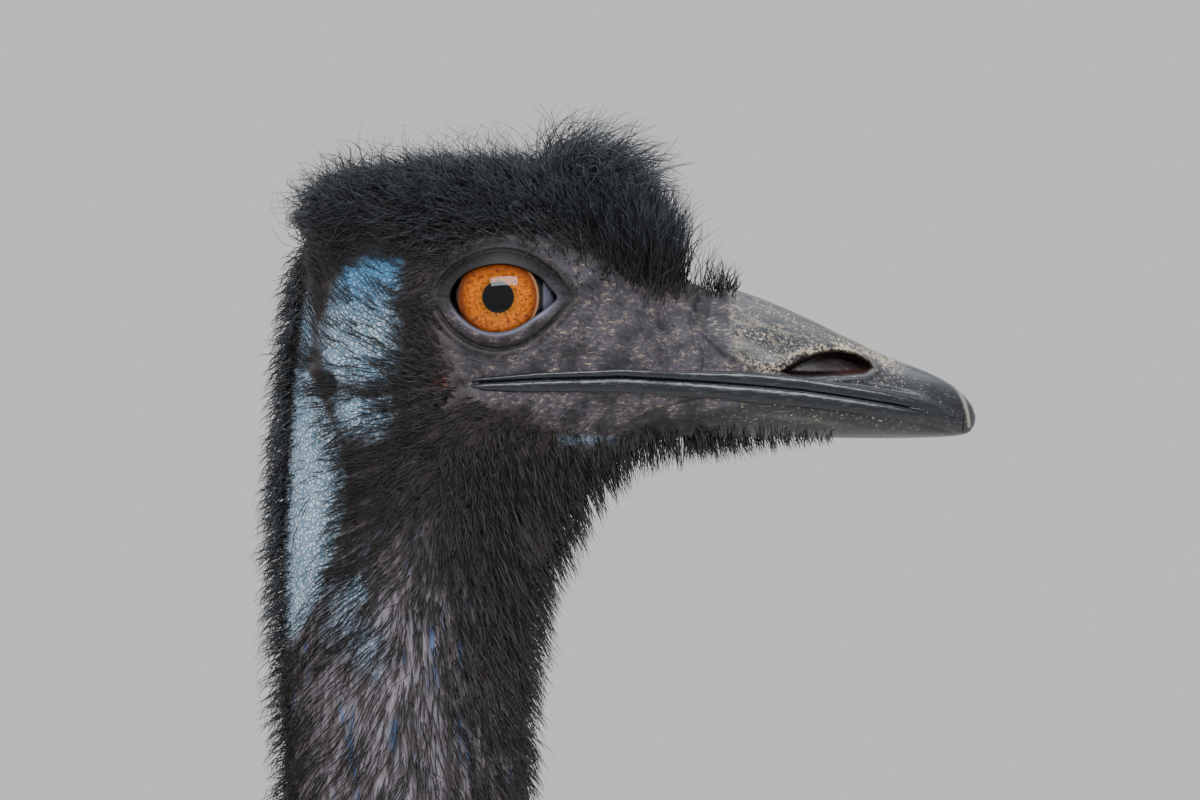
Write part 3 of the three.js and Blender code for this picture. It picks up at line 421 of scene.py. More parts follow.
def billHorn():
    look = billLook
    made, tree, shader, place = startMaterial("worn_bill_horn", IOR=1.54)
    masks = masksOf(tree, ("nostrilShade", "cavityFloor", "pale", "gloss", "dusty", "skinned"))
    blotch = addNode(tree, "TexNoise", {"Vector": place, "Scale": 1 / look["blotch"], "Detail": 4.0})
    fleck = addNode(tree, "TexNoise", {
        "Vector": place, "Scale": 1 / look["fleck"], "Detail": 5.0, "Roughness": 0.7,
    })
    stretched = addNode(tree, "VectorMath", {0: place, 1: look["scratchLean"]}, operation="MULTIPLY")
    scratch = addNode(tree, "TexNoise", {"Vector": stretched, "Scale": 1 / look["scratch"], "Detail": 3.0})
    leaned = addNode(tree, "VectorMath", {0: place, 1: look["chipLean"]}, operation="MULTIPLY")
    chip = addNode(tree, "TexNoise", {
        "Vector": leaned, "Scale": 1 / look["chip"], "Detail": 6.0, "Roughness": 0.72,
    })
    # Horn that faces up is painted the lighter top grey: a painted highlight of the sky on the bill's top
    skyLitFacing = addNode(tree, "NewGeometry", output="Normal")
    up = addNode(tree, "SeparateXYZ", {0: skyLitFacing}, output="Z")
    dust = addNode(tree, "Math", {0: masks["dusty"], 1: 0.16, 2: fleck}, operation="MULTIPLY_ADD")
    fleckShare = addNode(tree, "MapRange", {0: dust, 1: 0.59, 2: 0.66})
    patchShare = addNode(tree, "MapRange", {0: blotch, 1: 0.36, 2: 0.58, 3: 0.15})
    flecked = addNode(tree, "Math", {0: fleckShare, 1: patchShare}, operation="MULTIPLY")
    chipShare = addNode(tree, "MapRange", {0: chip, 1: 0.53, 2: 0.6})
    chipped = addNode(tree, "Math", {0: chipShare, 1: masks["dusty"]}, operation="MULTIPLY")
    flakes = addNode(tree, "Math", {0: flecked, 1: chipped}, operation="MAXIMUM", use_clamp=True)
    border = addNode(tree, "Math", {0: fleck, 1: 0.6, 2: masks["skinned"]}, operation="MULTIPLY_ADD")
    # The near-black red in the nostril's hole is painted shade inside it
    tone = layered(
        tree, look["deep"], (blotch, 0.35, 0.68, look["grey"]), (up, 0.3, 1.0, 0.7, look["top"]),
        (flakes, look["flake"]), (scratch, 0.6, 0.75, 0.3, look["pale"]), (masks["pale"], look["pale"]),
        (border, 0.6, 1.0, dustyTone(tree, place)[0]), (masks["cavityFloor"], look["cavityFloor"]),
        (masks["nostrilShade"], look["nostrilShade"]),
    )
    rough = addNode(tree, "MapRange", {0: masks["gloss"], 3: 0.38, 4: 0.2})
    rougher = addNode(tree, "Math", {0: flakes, 1: 0.3, 2: rough}, operation="MULTIPLY_ADD")
    tree.links.new(rougher, shader.inputs["Roughness"])
    height = addNode(tree, "Math", {0: scratch, 1: 0.6, 2: flakes}, operation="MULTIPLY_ADD")
    surface(tree, shader, tone, height, 0.6, 0.1)
    return made


# Eyeball: wet cornea over the iris, so a clear hard coat over a soft fibrous colour. Radii in mm.
eyeLook = {
    "bright": "#d86e00", "deep": "#5e2200", "inner": "#a06418", "fleck": "#4a1c00", "pupil": "#010206",
    "rim": "#050506", "pale": "#d8a878", "corner": "#5d5b6c",
    "pupilRadius": 3.9, "irisRadius": 9.7, "fibre": 46.0, "grain": 0.45,
}


def wetEye():
    look = eyeLook
    pupil, iris = look["pupilRadius"], look["irisRadius"]
    made, tree, shader, place = startMaterial(
        "wet_eye", Roughness=0.5, IOR=1.38, Specular_IOR_Level=0.0,
        Coat_Weight=1.0, Coat_Roughness=0.03, Coat_IOR=1.38,
    )
    flat = addNode(tree, "VectorMath", {0: place, 1: (1, 0, 1)}, operation="MULTIPLY")
    r = addNode(tree, "VectorMath", {0: flat}, output="Value", operation="LENGTH")
    x, z = (addNode(tree, "SeparateXYZ", {0: place}, output=axis) for axis in "XZ")
    turn = addNode(tree, "Math", {0: z, 1: x}, operation="ARCTAN2")
    turnWide = addNode(tree, "Math", {0: turn, 1: look["fibre"] / math.tau}, operation="MULTIPLY")
    spot = addNode(tree, "CombineXYZ", {0: turnWide, 1: r})
    fibres = addNode(tree, "TexNoise", {"Vector": spot, "Scale": 1.0, "Detail": 4.0, "Roughness": 0.65})
    grain = addNode(tree, "TexNoise", {"Vector": place, "Scale": 1 / look["grain"], "Detail": 2.0})
    # The iris darkens towards its top: painted shade of the upper lid over the eye
    rings = layered(
        tree, look["bright"], (r, 6.8, 9.6, 0.95, look["deep"]), (z, 1.5, 8.5, 0.85, look["deep"]),
        (r, 5.6, 4.0, 0.8, look["inner"]), interpolation="SMOOTHSTEP",
    )
    paleShare = addNode(tree, "MapRange", {0: r, 1: 9.2, 2: 9.55}, interpolation_type="SMOOTHSTEP")
    frontShare = addNode(tree, "MapRange", {0: x, 1: 5.0, 2: 9.0, 4: 0.4})
    paleEdge = addNode(tree, "Math", {0: paleShare, 1: frontShare}, operation="MULTIPLY")
    surface(tree, shader, layered(
        tree, rings, (fibres, 0.47, 0.64, 0.85, look["fleck"]), (grain, 0.52, 0.66, 0.55, look["deep"]),
        (paleEdge, look["pale"]), (r, iris, iris + 0.35, look["rim"]), (x, 10.7, 11.1, look["corner"]),
        (r, pupil + 0.15, pupil - 0.15, look["pupil"]),
    ))
    return made


# Hair-like feathers of the head and neck: fine black keratin with a cool sheen along the barbs. The lighter strands
# and tips, blue-grey on the crown and brown-grey on the cheeks, are partly their own varied tone and partly painted
# sheen
crownHairAndSheenLook = {"root": "#09090b", "dark": "#060608", "light": "#202329", "tip": "#363a42"}
cheekHairAndSheenLook = {"root": "#0c0b0b", "dark": "#090808", "light": "#3a332f", "tip": "#40393a"}
# Body feathers: loose grey-brown barbs on twin shafts, dull, darker towards the tips
plumageLook = {"root": "#6a5a49", "dark": "#33281f", "light": "#8a745c", "tip": "#15110e"}


def strandKeratin(name, look, roughness, tipStart):
    made, tree, shader, place = startMaterial(name, Roughness=roughness, IOR=1.55)
    masks = masksOf(tree, ("shade", "along"))
    surface(tree, shader, layered(
        tree, look["dark"], (masks["shade"], look["light"]), (masks["along"], 0.35, 0.0, 0.7, look["root"]),
        (masks["along"], tipStart, 1.0, 0.85, look["tip"]),
    ))
    return made


# Leg scales and claws: thick dull keratin plates, worn grey-brown over dark grooves
scaleLook = {"plate": "#55483c", "worn": "#7a6b5a", "groove": "#1c1713", "cell": 3.4, "grain": 0.7}


def legScales():
    look = scaleLook
    made, tree, shader, place = startMaterial("leg_scale_keratin", Roughness=0.58, IOR=1.52)
    masks = masksOf(tree, ("groove", "scuted"))
    cell = addNode(tree, "TexVoronoi", {"Vector": place, "Scale": 1 / look["cell"]}, feature="DISTANCE_TO_EDGE")
    grain = addNode(tree, "TexNoise", {"Vector": place, "Scale": 1 / look["grain"], "Detail": 3.0})
    cellShare = addNode(tree, "MapRange", {0: cell, 1: 0.0, 2: 0.12})
    edge = addNode(tree, "Math", {0: 1.0, 1: masks["groove"]}, operation="SUBTRACT")
    relief = addNode(tree, "Mix", {0: masks["scuted"], 2: cellShare, 3: edge})
    plate = layered(tree, look["plate"], (grain, 0.4, 0.7, look["worn"]))
    height = addNode(tree, "Math", {0: grain, 1: 0.3, 2: relief}, operation="MULTIPLY_ADD")
    surface(tree, shader, layered(tree, look["groove"], (relief, plate)), height, 0.8, 0.4)
    return made


clawLook = {"dark": "#14110f", "light": "#4a4038", "streak": 0.9, "lean": (0.15, 1, 1)}


def clawHorn():
    look = clawLook
    made, tree, shader, place = startMaterial("worn_claw_horn", Roughness=0.42, IOR=1.54)
    stretched = addNode(tree, "VectorMath", {0: place, 1: look["lean"]}, operation="MULTIPLY")
    streak = addNode(tree, "TexNoise", {"Vector": stretched, "Scale": 1 / look["streak"], "Detail": 4.0})
    surface(tree, shader, layered(tree, look["dark"], (streak, 0.4, 0.7, look["light"])), streak, 0.5, 0.2)
    return made


# Horny lips: the same keratin as the bill, kept polished by use, with fine scratches along them
lipLook = {"black": "#16191f", "worn": "#6b717b", "scratch": 0.45, "lean": (0.1, 1, 1)}


def lipHorn():
    look = lipLook
    made, tree, shader, place = startMaterial("polished_lip_horn", Roughness=0.2, IOR=1.54)
    stretched = addNode(tree, "VectorMath", {0: place, 1: look["lean"]}, operation="MULTIPLY")
    scratch = addNode(tree, "TexNoise", {"Vector": stretched, "Scale": 1 / look["scratch"], "Detail": 4.0})
    rough = addNode(tree, "MapRange", {0: scratch, 1: 0.4, 2: 0.7, 3: 0.16, 4: 0.34})
    tree.links.new(rough, shader.inputs["Roughness"])
    tone = layered(tree, look["black"], (scratch, 0.58, 0.8, 0.35, look["worn"]))
    surface(tree, shader, tone, scratch, 0.4, 0.1)
    return made


skinMaterial, hornMaterial, lipMaterial = bareSkin(), billHorn(), lipHorn()
eyeMaterial, scaleMaterial, clawMaterial = wetEye(), legScales(), clawHorn()
crownHairMaterial = strandKeratin("black_hair_feather", crownHairAndSheenLook, 0.34, 0.55)
cheekHairMaterial = strandKeratin("brown_black_hair_feather", cheekHairAndSheenLook, 0.42, 0.6)
plumageMaterial = strandKeratin("brown_body_feather", plumageLook, 0.7, 0.72)
print("materials ready")

# Skin of head, neck and body

skinSize = {
    "around": 216, "headStep": 0.055, "neckStep": 0.075, "bodyStep": 0.3, "headEnd": 12, "neckEnd": 19,
    "earAt": (-43, -21), "earRadius": 3.4, "earDepth": 5.0,
    "socketReach": (18.6, 14.6), "socketDepth": 7.0, "mouthGroove": 1.2,
}
lidEdge = np.array([
    [14.2, 0.0], [12.2, 2.8], [10.2, 4.9], [7.3, 6.6], [4.4, 7.7], [0.7, 8.2], [-3, 7.8], [-6.8, 6.6],
    [-9.8, 4.5], [-11.7, 1.4], [-11.4, -1.6], [-8.8, -5.2], [-4.8, -7.9], [-0.2, -8.7], [4.4, -7.6],
    [8.5, -5.1], [12.0, -2.4],
])
lidMiddle = np.array([1.0, -0.3])
# The leaf-shaped bare face, from the forehead's feather line round the eye to the gape and jaw
bareFace = np.array([
    [62, 0.5], [52, 0.5], [46, -1], [40, -0.5], [33, 2], [27, 5.5], [20, 9.5], [13, 12.8], [5, 14], [-4, 13],
    [-11, 8.5], [-14, 2], [-13, -6], [-12, -12], [-9.5, -17], [-9, -21], [-4, -24], [6, -27], [14, -31], [20, -36],
    [40, -38], [62, -37],
])
# Back of the lower bill's horn plate, a leaf over the jaw
lowerPlate = np.array([
    [24, -35.4], [34, -31.5], [44, -28.4], [54, -26.6], [60, -26], [82, -26], [82, -38], [24, -38],
])
# Smooth horny leaf over the nostril, which starts on the skin and ends on the bill
nasalCover = np.array([
    [44, 6], [47.5, -3], [50, -9], [56, -14.5], [63, -17], [69, -16.6], [74, -13.4], [79, -11.6], [85, -11.2],
    [92, -13.5], [97, -15], [90, -8], [80, -1], [70, 4], [56, 8],
])
# Pale bare patches: outline in side view, softness, how bare, how blue rather than white
bluePatches = {
    "temple": ([[-24, 9], [-30, 11], [-37, 8], [-41, 2], [-38, -3], [-30, -3], [-25, 1]], 4.0, 1.0, 0.85),
    "behindEye": ([[-24, 2], [-40, 2], [-45, -8], [-42, -20], [-28, -22], [-24, -12]], 4.5, 0.8, 0.12),
    "ear": ([[-23, -14], [-33, -16], [-34, -22], [-26, -22]], 3.5, 0.75, 0.6),
    "jaw": ([[-41, -24], [-35, -22], [-27, -25], [-25, -31], [-30, -35], [-38, -34]], 4.5, 0.85, 0.2),
    "nape": ([
        [-49, 6], [-46, 0], [-46.5, -10], [-48.5, -17], [-45, -23], [-41, -32], [-37.5, -42],
        [-37.5, -51], [-40, -60], [-43, -70], [-48, -80], [-54, -86], [-60, -60], [-60, -20],
    ], 2.2, 1.25, 0.1),
    "napeEdge": ([[-52, -2], [-46, -4], [-47.5, -15], [-49, -24], [-46, -33], [-50, -30], [-53, -14]], 2.0, 0.9, 0.7),
    "spot": ([[-36.5, -67.5], [-32, -68.5], [-32.5, -74], [-37, -74]], 1.4, 1.0, 0.3),
    "streaks": ([[-46, -60], [-36, -68], [-26, -86], [-30, -94], [-44, -84]], 7.0, 0.55, 0.3),
    "brow": ([[-6, 22.5], [0, 24], [4, 21.5], [-1, 19.8]], 2.5, 0.7, 1.0),
    "browFront": ([[9, 16.5], [16, 15.5], [15, 14], [9, 14.5]], 2.0, 0.4, 0.3),
    "jawScales": ([[13, -33.8], [22, -33.4], [31, -34.6], [30, -36.6], [15, -36.2]], 1.6, 0.5, 0.35),
}


def skinMasks(p, normal):
    flat = p[:, [0, 2]]
    face = smooth(insideBy(flat, bareFace), -4, 2)
    blue, azure = np.zeros(len(p)), np.zeros(len(p))
    for outline, soft, bare, hue in bluePatches.values():
        share = bare * smooth(insideBy(flat, np.array(outline)), -soft, soft)
        azure = np.where(share > 1e-3, mix(azure, hue, np.clip(share / (blue + share + 1e-6), 0, 1)), azure)
        blue = np.maximum(blue, share)
    sideways = smooth(np.abs(normal[:, 1]), 0.1, 0.5)
    body = smooth(-p[:, 2], 300, 520)
    plate = 0.62 * smooth(insideBy(flat, lowerPlate), -0.8, 1.2)
    cover = 0.5 * smooth(insideBy(flat, nasalCover), -1.5, 1.5) * smooth(p[:, 0], 43, 48)
    brow = smooth(p[:, 2] - 0.3 * np.maximum(p[:, 0] - 20, 0), 5, 12) * smooth(-p[:, 0], -48, -30)
    sore = np.hypot(flat[:, 0] + 14.2, flat[:, 1] + 20.4)
    return {
        "lores": face * smooth(p[:, 0], -18, -6), "blue": blue * sideways, "azure": azure,
        "mauve": smooth(-p[:, 2] - 0.25 * p[:, 0], 46, 96) * (1 - body), "lilac": np.zeros(len(p)),
        "dark": np.maximum(np.maximum(plate, cover), 0.6 * brow),
        "down": body, "sore": smooth(-sore, -1.9, -1.0) * sideways,
    }


def skinRings():
    z = skinSize
    stations = np.concatenate([
        np.arange(0, z["headEnd"], z["headStep"]),
        np.arange(z["headEnd"], z["neckEnd"], z["neckStep"]),
        np.arange(z["neckEnd"], lastStation + 0.01, z["bodyStep"]),
    ])
    angles = (np.arange(z["around"]) + 0.5) / z["around"] * math.tau
    station, angle = np.meshgrid(stations, angles, indexing="ij")
    return skinAt(station, angle)[:2]


creases = [
    (np.array([[-9, -21], [-12, -23], [-15, -27]]), 0.7, 0.8),
    (np.array([[14, -0.4], [18, 0.6], [23, -0.4]]), 0.5, 0.45),
    (np.array([[-9, -14], [0, -16.4], [10, -15], [17, -10]]), 0.7, 0.4),
    (np.array([[50, 2.5], [47.5, -6], [49, -13], [54, -17]]), 0.6, 0.6),
    (np.array([[49, -24.8], [38, -28], [30, -32], [26, -35]]), 0.6, 0.6),
    (np.array([[20, 9], [30, 5], [40, 4], [47, 2]]), 0.8, 0.35),
]


# How far the finer forms of the face move the skin along its normal
def faceDetail(p, normal):
    flat = p[:, [0, 2]]
    sideways = smooth(np.abs(normal[:, 1]), 0.25, 0.6)
    move = np.zeros(len(p))
    for line, width, depth in creases:
        away = lineDistance(flat, line)
        move -= depth * bell(away, 0, width)
        move += 0.3 * depth * bell(away, 2 * width, 1.2 * width)
    mouth = lineDistance(flat, mouthLine[:6])
    move -= skinSize["mouthGroove"] * bell(mouth, 0, 0.7)
    ear = np.hypot(flat[:, 0] - skinSize["earAt"][0], flat[:, 1] - skinSize["earAt"][1])
    move -= skinSize["earDepth"] * smooth(-ear, -skinSize["earRadius"], -1.2)
    move += 0.8 * bell(ear, 4.6, 1.2)
    return move * sideways


ringPoints, ringNormals = skinRings()
shape = ringPoints.shape
flatPoints, flatNormals = ringPoints.reshape(-1, 3), ringNormals.reshape(-1, 3)
detailed = flatPoints + flatNormals * faceDetail(flatPoints, flatNormals)[:, None]
plainSkin = loft(detailed.reshape(shape))
skinTree = BVHTree.FromPolygons(plainSkin[0].tolist(), plainSkin[1].tolist())


# Where the side of the head lies under a point seen from that side
def sideAt(x, z, side, tree=skinTree):
    hit = tree.ray_cast(Vector((x, side * 90, z)), Vector((0, -side, 0)))[0]
    return hit.y * side if hit else 0.0


# Round each eye the skin sinks away under the lids
reach = (detailed[:, [0, 2]] - lidMiddle) / skinSize["socketReach"]
sunk = smooth(-np.linalg.norm(reach, axis=1), -1.0, -0.82) * (np.abs(detailed[:, 1]) > 12)
pocketed = detailed.copy()
pocketed[:, 1] -= np.sign(detailed[:, 1]) * sunk * skinSize["socketDepth"]
skinShell = loft(pocketed.reshape(shape))
skinNormals = np.vstack([flatNormals, [[1, 0, 0]], [[-1, 0, 0]]])
skinAttributes = skinMasks(skinShell[0], skinNormals)
print("skin form ready,", len(skinShell[1]), "triangles")

# Lids

lidSize = {
    "count": 132, "steps": 40, "outer": (20.4, 16.4), "ball": 15.0, "ballSide": 20.0, "thick": 0.75,
    "blend": 0.7,
}
# Folds round the eye: how high, how far out from the lid's edge, how wide
lidFolds = {
    "lower": [(0.45, 1.9, 1.0), (-0.75, 3.9, 0.55), (0.3, 5.2, 0.8), (-0.3, 6.4, 0.5)],
    "upper": [(0.3, 1.5, 0.9), (-0.55, 3.3, 0.5), (0.5, 4.6, 0.9)],
}


def lids(side):
    z = lidSize
    edge = closedSpline(lidEdge, z["count"])
    turn = np.arctan2(edge[:, 1] - lidMiddle[1], edge[:, 0] - lidMiddle[0])
    outer = lidMiddle + np.stack([np.cos(turn) * z["outer"][0], np.sin(turn) * z["outer"][1]], -1)
    share = np.linspace(0, 1, z["steps"]) ** 1.25
    flat = edge[None] + (outer - edge)[None] * share[:, None, None]
    out = np.linalg.norm(flat - edge[None], axis=-1)
    lower, upper = smooth(-np.sin(turn), -0.1, 0.5)[None], smooth(np.sin(turn), -0.1, 0.45)[None]
    skinSide = np.array([[sideAt(x, w, side) for x, w in row] for row in flat])
    far = np.linalg.norm(flat, axis=-1)
    hug = z["ballSide"] + np.sqrt(np.maximum((z["ball"] + z["thick"]) ** 2 - far ** 2, 0.5))
    high = np.maximum(hug, skinSide)
    y = high + z["blend"] * np.log1p(np.exp(-np.abs(hug - skinSide) / z["blend"]))
    y = mix(y, skinSide + 0.12, smooth(share, 0.72, 0.95)[:, None])
    wrinkle = np.sin(turn * 62)[None] * 0.1 + np.sin(turn * 35 + 2)[None] * 0.08
    fade = smooth(1 - share, 0.05, 0.35)[:, None]
    y = y + fade * (
        lower * sum(high * bell(out, *at) for high, *at in lidFolds["lower"])
        + upper * sum(high * bell(out, *at) for high, *at in lidFolds["upper"])
        + wrinkle * bell(out, 2.0, 1.3)
    )
    y[-1] -= 0.4
    ball = lambda pts, extra: z["ballSide"] + np.sqrt(np.maximum((z["ball"] + extra) ** 2 - (pts ** 2).sum(-1), 1))
    inward = unit(lidMiddle - edge)
    rolled = edge + inward * 0.22
    rings = [
        (edge * 0.96, ball(edge * 0.96, -3.0)), (rolled, ball(rolled, -0.9)),
        (rolled, ball(rolled, 0.12)), (edge + inward * 0.1, ball(edge, z["thick"] * 0.8)),
    ]
    rings += [(flat[k], y[k]) for k in range(z["steps"])]
    rings += [(outer, y[-1] - 4), (edge * 1.02, ball(edge * 1.02, -5.0))]
    made = np.array([[(x, side * w, v) for (x, v), w in zip(p, depth)] for p, depth in rings])
    outBy = np.concatenate([np.zeros((4, z["count"])), out, np.full((2, z["count"]), 9.0)])
    low = np.broadcast_to(lower, outBy.shape)
    corner = smooth(np.cos(turn), 0.8, 0.97)[None] * bell(outBy, 0, 1.6)
    lilac = np.clip(bell(outBy, 0.25, 0.5) * low * 0.9 + 0.6 * corner, 0, 1)
    lilac[:2] *= 0.2
    # The dark band 3.9 mm below the lower lid's edge is painted shadow in the fold there; the dark upper lid and lid
    # edge are the skin's own colour
    dark = bell(outBy, 3.9, 0.75) * low * 0.8 + smooth(-outBy, -7.5, -3.5) * (1 - low) * 0.84
    dark = np.maximum(dark, bell(outBy, 0, 0.45) * (1 - 0.35 * low))
    greyed = smooth(-outBy, -8, -1) * mix(0.4, 0.9, low)
    points, triangles = loft(made, looped=True)
    masks = skinMasks(points, np.tile([0, side, 0], (len(points), 1)))
    masks["lores"] = np.maximum(masks["lores"] * smooth(outBy.ravel(), 2, 7), greyed.ravel())
    masks["lilac"] = lilac.ravel()
    masks["dark"] = np.clip(np.maximum(dark.ravel(), masks["dark"] * smooth(outBy.ravel(), 5, 9)), 0, 1)
    masks["blue"] = masks["blue"] * smooth(outBy.ravel(), 4, 8)
    return points, triangles, masks


# Legs: scutes down the front of the shin and over the toes, soft pads under them

legSize = {
    "hockHeight": 415, "hockBehind": 44, "ankleHeight": 62, "stance": 76, "stride": 26, "forward": -360,
    "shinPlate": 9.5, "shinLift": 1.1, "toePlate": 6.5, "toeLift": 0.9, "around": 56, "levelStep": 1.5,
}
toes = {
    "inner": {"turn": -29, "length": 84, "width": 26, "height": 25, "claw": 27},
    "middle": {"turn": 2, "length": 130, "width": 30, "height": 29, "claw": 31},
    "outer": {"turn": 32, "length": 90, "width": 25, "height": 24, "claw": 25},
}
floorLevel = -eyeHeight


def legLevels(side):
    z = legSize
    footX, across = z["forward"] + side * z["stride"], side * z["stance"]
    hockX = z["forward"] - z["hockBehind"] + side * z["stride"] * 0.6
    hock = z["hockHeight"]
    return {
        "thigh": np.array([
            [z["forward"] - 2, across + side * 20, hock + 330, 96, 50],
            [z["forward"] - 4, across + side * 18, hock + 250, 88, 50],
            [z["forward"] - 8, across + side * 13, hock + 180, 72, 44],
            [mix(z["forward"] - 8, hockX, 0.6), across + side * 6, hock + 115, 49, 34],
            [hockX + 3, across + side, hock + 55, 31, 23],
        ]),
        "shin": np.array([
            [hockX + 3, across, hock + 58, 28.5, 21],
            [hockX, across, hock + 28, 29, 22],
            [hockX - 3, across, hock, 31, 24],
            [hockX, across, hock - 32, 26, 20],
            [mix(hockX, footX, 0.25), across, hock - 90, 20, 15.5],
            [mix(hockX, footX, 0.55), across, 220, 18.5, 14.5],
            [mix(hockX, footX, 0.8), across, 125, 19, 15.5],
            [footX - 1, across, z["ankleHeight"], 21, 19],
            [footX, across, z["ankleHeight"] * 0.62, 24, 24],
            [footX + 2, across, z["ankleHeight"] * 0.25, 25, 27],
            [footX + 3, across, 0.6, 20, 23],
        ]),
    }


def limb(levels, step, around, grow=0.0):
    length = np.abs(levels[0, 2] - levels[-1, 2])
    t = np.linspace(0, len(levels) - 1, max(4, int(length / step)))
    level = splineAt(levels, t)
    angle = (np.arange(around) + 0.5) / around * math.tau
    x = level[:, None, 0] + np.cos(angle) * (level[:, None, 3] + grow)
    y = level[:, None, 1] + np.sin(angle) * (level[:, None, 4] + grow)
    return np.stack([x, y, np.broadcast_to(floorLevel + level[:, None, 2], x.shape)], -1), angle


# Each plate rises slowly and drops at its lower edge, and the groove between two is dark
def plateShape(distance, size):
    share = (distance / size) % 1.0
    return share * smooth(-share, -1.0, -0.86), smooth(-np.abs(share - 0.97), -0.12, -0.02)


# The two points that close a loft's ends have no groove
def scuteMasks(groove, scuted):
    return {key: np.append(m.ravel(), np.zeros(2)) for key, m in (("groove", groove), ("scuted", scuted))}


def shin(side):
    z = legSize
    rings, angle = limb(legLevels(side)["shin"], z["levelStep"], z["around"])
    front = smooth(np.cos(angle), 0.25, 0.6)[None] * np.ones(rings.shape[:2])
    rise, groove = plateShape(floorLevel + 2000 - rings[..., 2], z["shinPlate"])
    away = np.stack([np.cos(angle), np.sin(angle), 0 * angle], -1)[None]
    rings = rings + away * (front * (rise - 0.5) * z["shinLift"])[..., None]
    knob = 1.2 * np.sin(rings[..., 2] * 0.35 + angle * 3) * bell(rings[..., 2], floorLevel + z["hockHeight"], 30)
    rings = rings + away * knob[..., None]
    points, triangles = loft(rings)
    return points, triangles, scuteMasks(groove * front, front)


def archRings(start, heading, stops, around):
    along = np.array([math.cos(heading), math.sin(heading), 0])
    across = np.array([-math.sin(heading), math.cos(heading), 0])
    a = (np.arange(around) + 0.5) / around * math.tau
    rise = np.sin(a)
    rings = []
    for distance, half, low, high in stops:
        waist = mix(low, high, 0.35)
        p = start + along * distance + across * (np.cos(a) * half * np.where(rise > 0, 1, 0.86))[:, None]
        up = np.where(rise > 0, mix(waist, high, np.abs(rise) ** 0.8), mix(waist, low, np.minimum(1, -rise * 2.2)))
        p[:, 2] = floorLevel + up
        rings.append(p)
    return np.array(rings), a


def toeShell(side, toe):
    z = legSize
    start = np.array([z["forward"] + side * z["stride"], side * z["stance"], 0.0])
    heading = math.radians(toe["turn"]) * side
    distance = np.linspace(0, toe["length"], int(toe["length"] / 1.1))
    t = distance / toe["length"]
    rise, groove = plateShape(distance + 2000, z["toePlate"])
    half = toe["width"] * 0.5 * mix(1, 0.66, t) * (1 + 0.06 * np.sin(t * math.pi * 6 + 1))
    high = toe["height"] * mix(1.1, 0.62, t) + (rise - 0.5) * z["toeLift"]
    half[-1], high[-1] = half[-1] * 0.9, high[-1] * 0.92
    rings, a = archRings(start, heading, zip(distance, half, 0 * t, high), 28)
    points, triangles = loft(rings)
    top = np.broadcast_to(smooth(np.sin(a), 0.3, 0.7), rings.shape[:2])
    return points, triangles, scuteMasks(groove[:, None] * top, top)


def clawShell(side, toe):
    z = legSize
    start = np.array([z["forward"] + side * z["stride"], side * z["stance"], 0.0])
    t = np.linspace(0, 1, 26)
    half = toe["width"] * 0.28 * (1 - t ** 1.7) + 0.5
    distance = toe["length"] - 1.5 + t * (toe["claw"] + 1.5)
    high = toe["height"] * 0.54 * (1 - t ** 1.8) + 1.9
    stops = zip(distance, half, np.maximum(0, t * 1.5 - 0.5), high)
    return loft(archRings(start, math.radians(toe["turn"]) * side, stops, 20)[0])


skinParts = [(*skinShell, skinAttributes, 0)] + [(*lids(side), 0) for side in sides.values()]
for side in sides.values():
    thigh = loft(limb(legLevels(side)["thigh"], 8, 36, -6)[0])
    skinParts.append((*thigh, {"down": np.ones(len(thigh[0]))}, 0))
    skinParts.append((*shin(side), 1))
    skinParts += [(*toeShell(side, toe), 1) for toe in toes.values()]
points, triangles = together([part[:2] for part in skinParts])
attributes = {
    key: np.concatenate([part[2].get(key, np.zeros(len(part[0]))) for part in skinParts])
    for key in (*skinMaskNames, "groove", "scuted")
}
fleshNodes = ["head", "neck_upper", "neck_middle", "neck_lower", "torso", "tail"]
fleshNodes += [f"{part}_{side}" for part in ("thigh", "shin", "foot") for side in sides]
makePiece(
    "skin", points, triangles, [skinMaterial, scaleMaterial], "skin", attributes, replaces=fleshNodes,
    faceMaterial=np.concatenate([np.full(len(part[1]), part[3]) for part in skinParts]),
)
print("skin, lids and legs:", len(triangles), "triangles")

for sideName, side in sides.items():
    for toeName, toe in toes.items():
        makePiece(
            f"toe_claw_{toeName}_{sideName}", *clawShell(side, toe), [clawMaterial], "claw",
            replaces=[f"claw_{toeName}_{sideName}"],
        )

# Eyes: how far round the ball goes back from its middle, in degrees

eyeSize = {"reach": 100, "rings": 64, "around": 96}


def eyeball(side):
    z = eyeSize
    bend = np.linspace(0.001, math.radians(z["reach"]), z["rings"])[:, None]
    turn = np.arange(z["around"]) / z["around"] * math.tau
    flat, deep = np.sin(bend) * lidSize["ball"], np.cos(bend) * lidSize["ball"]
    rings = np.stack([flat * np.cos(turn), deep + 0 * turn, flat * np.sin(turn)], -1)
    rings[..., 1] *= side
    return loft(rings)


for sideName, side in sides.items():
    made = makePiece(f"eyeball_{sideName}", *eyeball(side), [eyeMaterial], "eye", replaces=[f"eye_{sideName}"])
    # Its own origin is the eye's middle, so that the iris's rings are measured from there
    made.data.transform(Matrix.Translation(-Vector(origin)))
    made.matrix_world = Matrix.Translation(Vector(toWorld([0, side * lidSize["ballSide"], 0])))
print("eyes ready")

# Bill: upper and lower sheaths parted along the mouth line, with the nostril cut into the upper

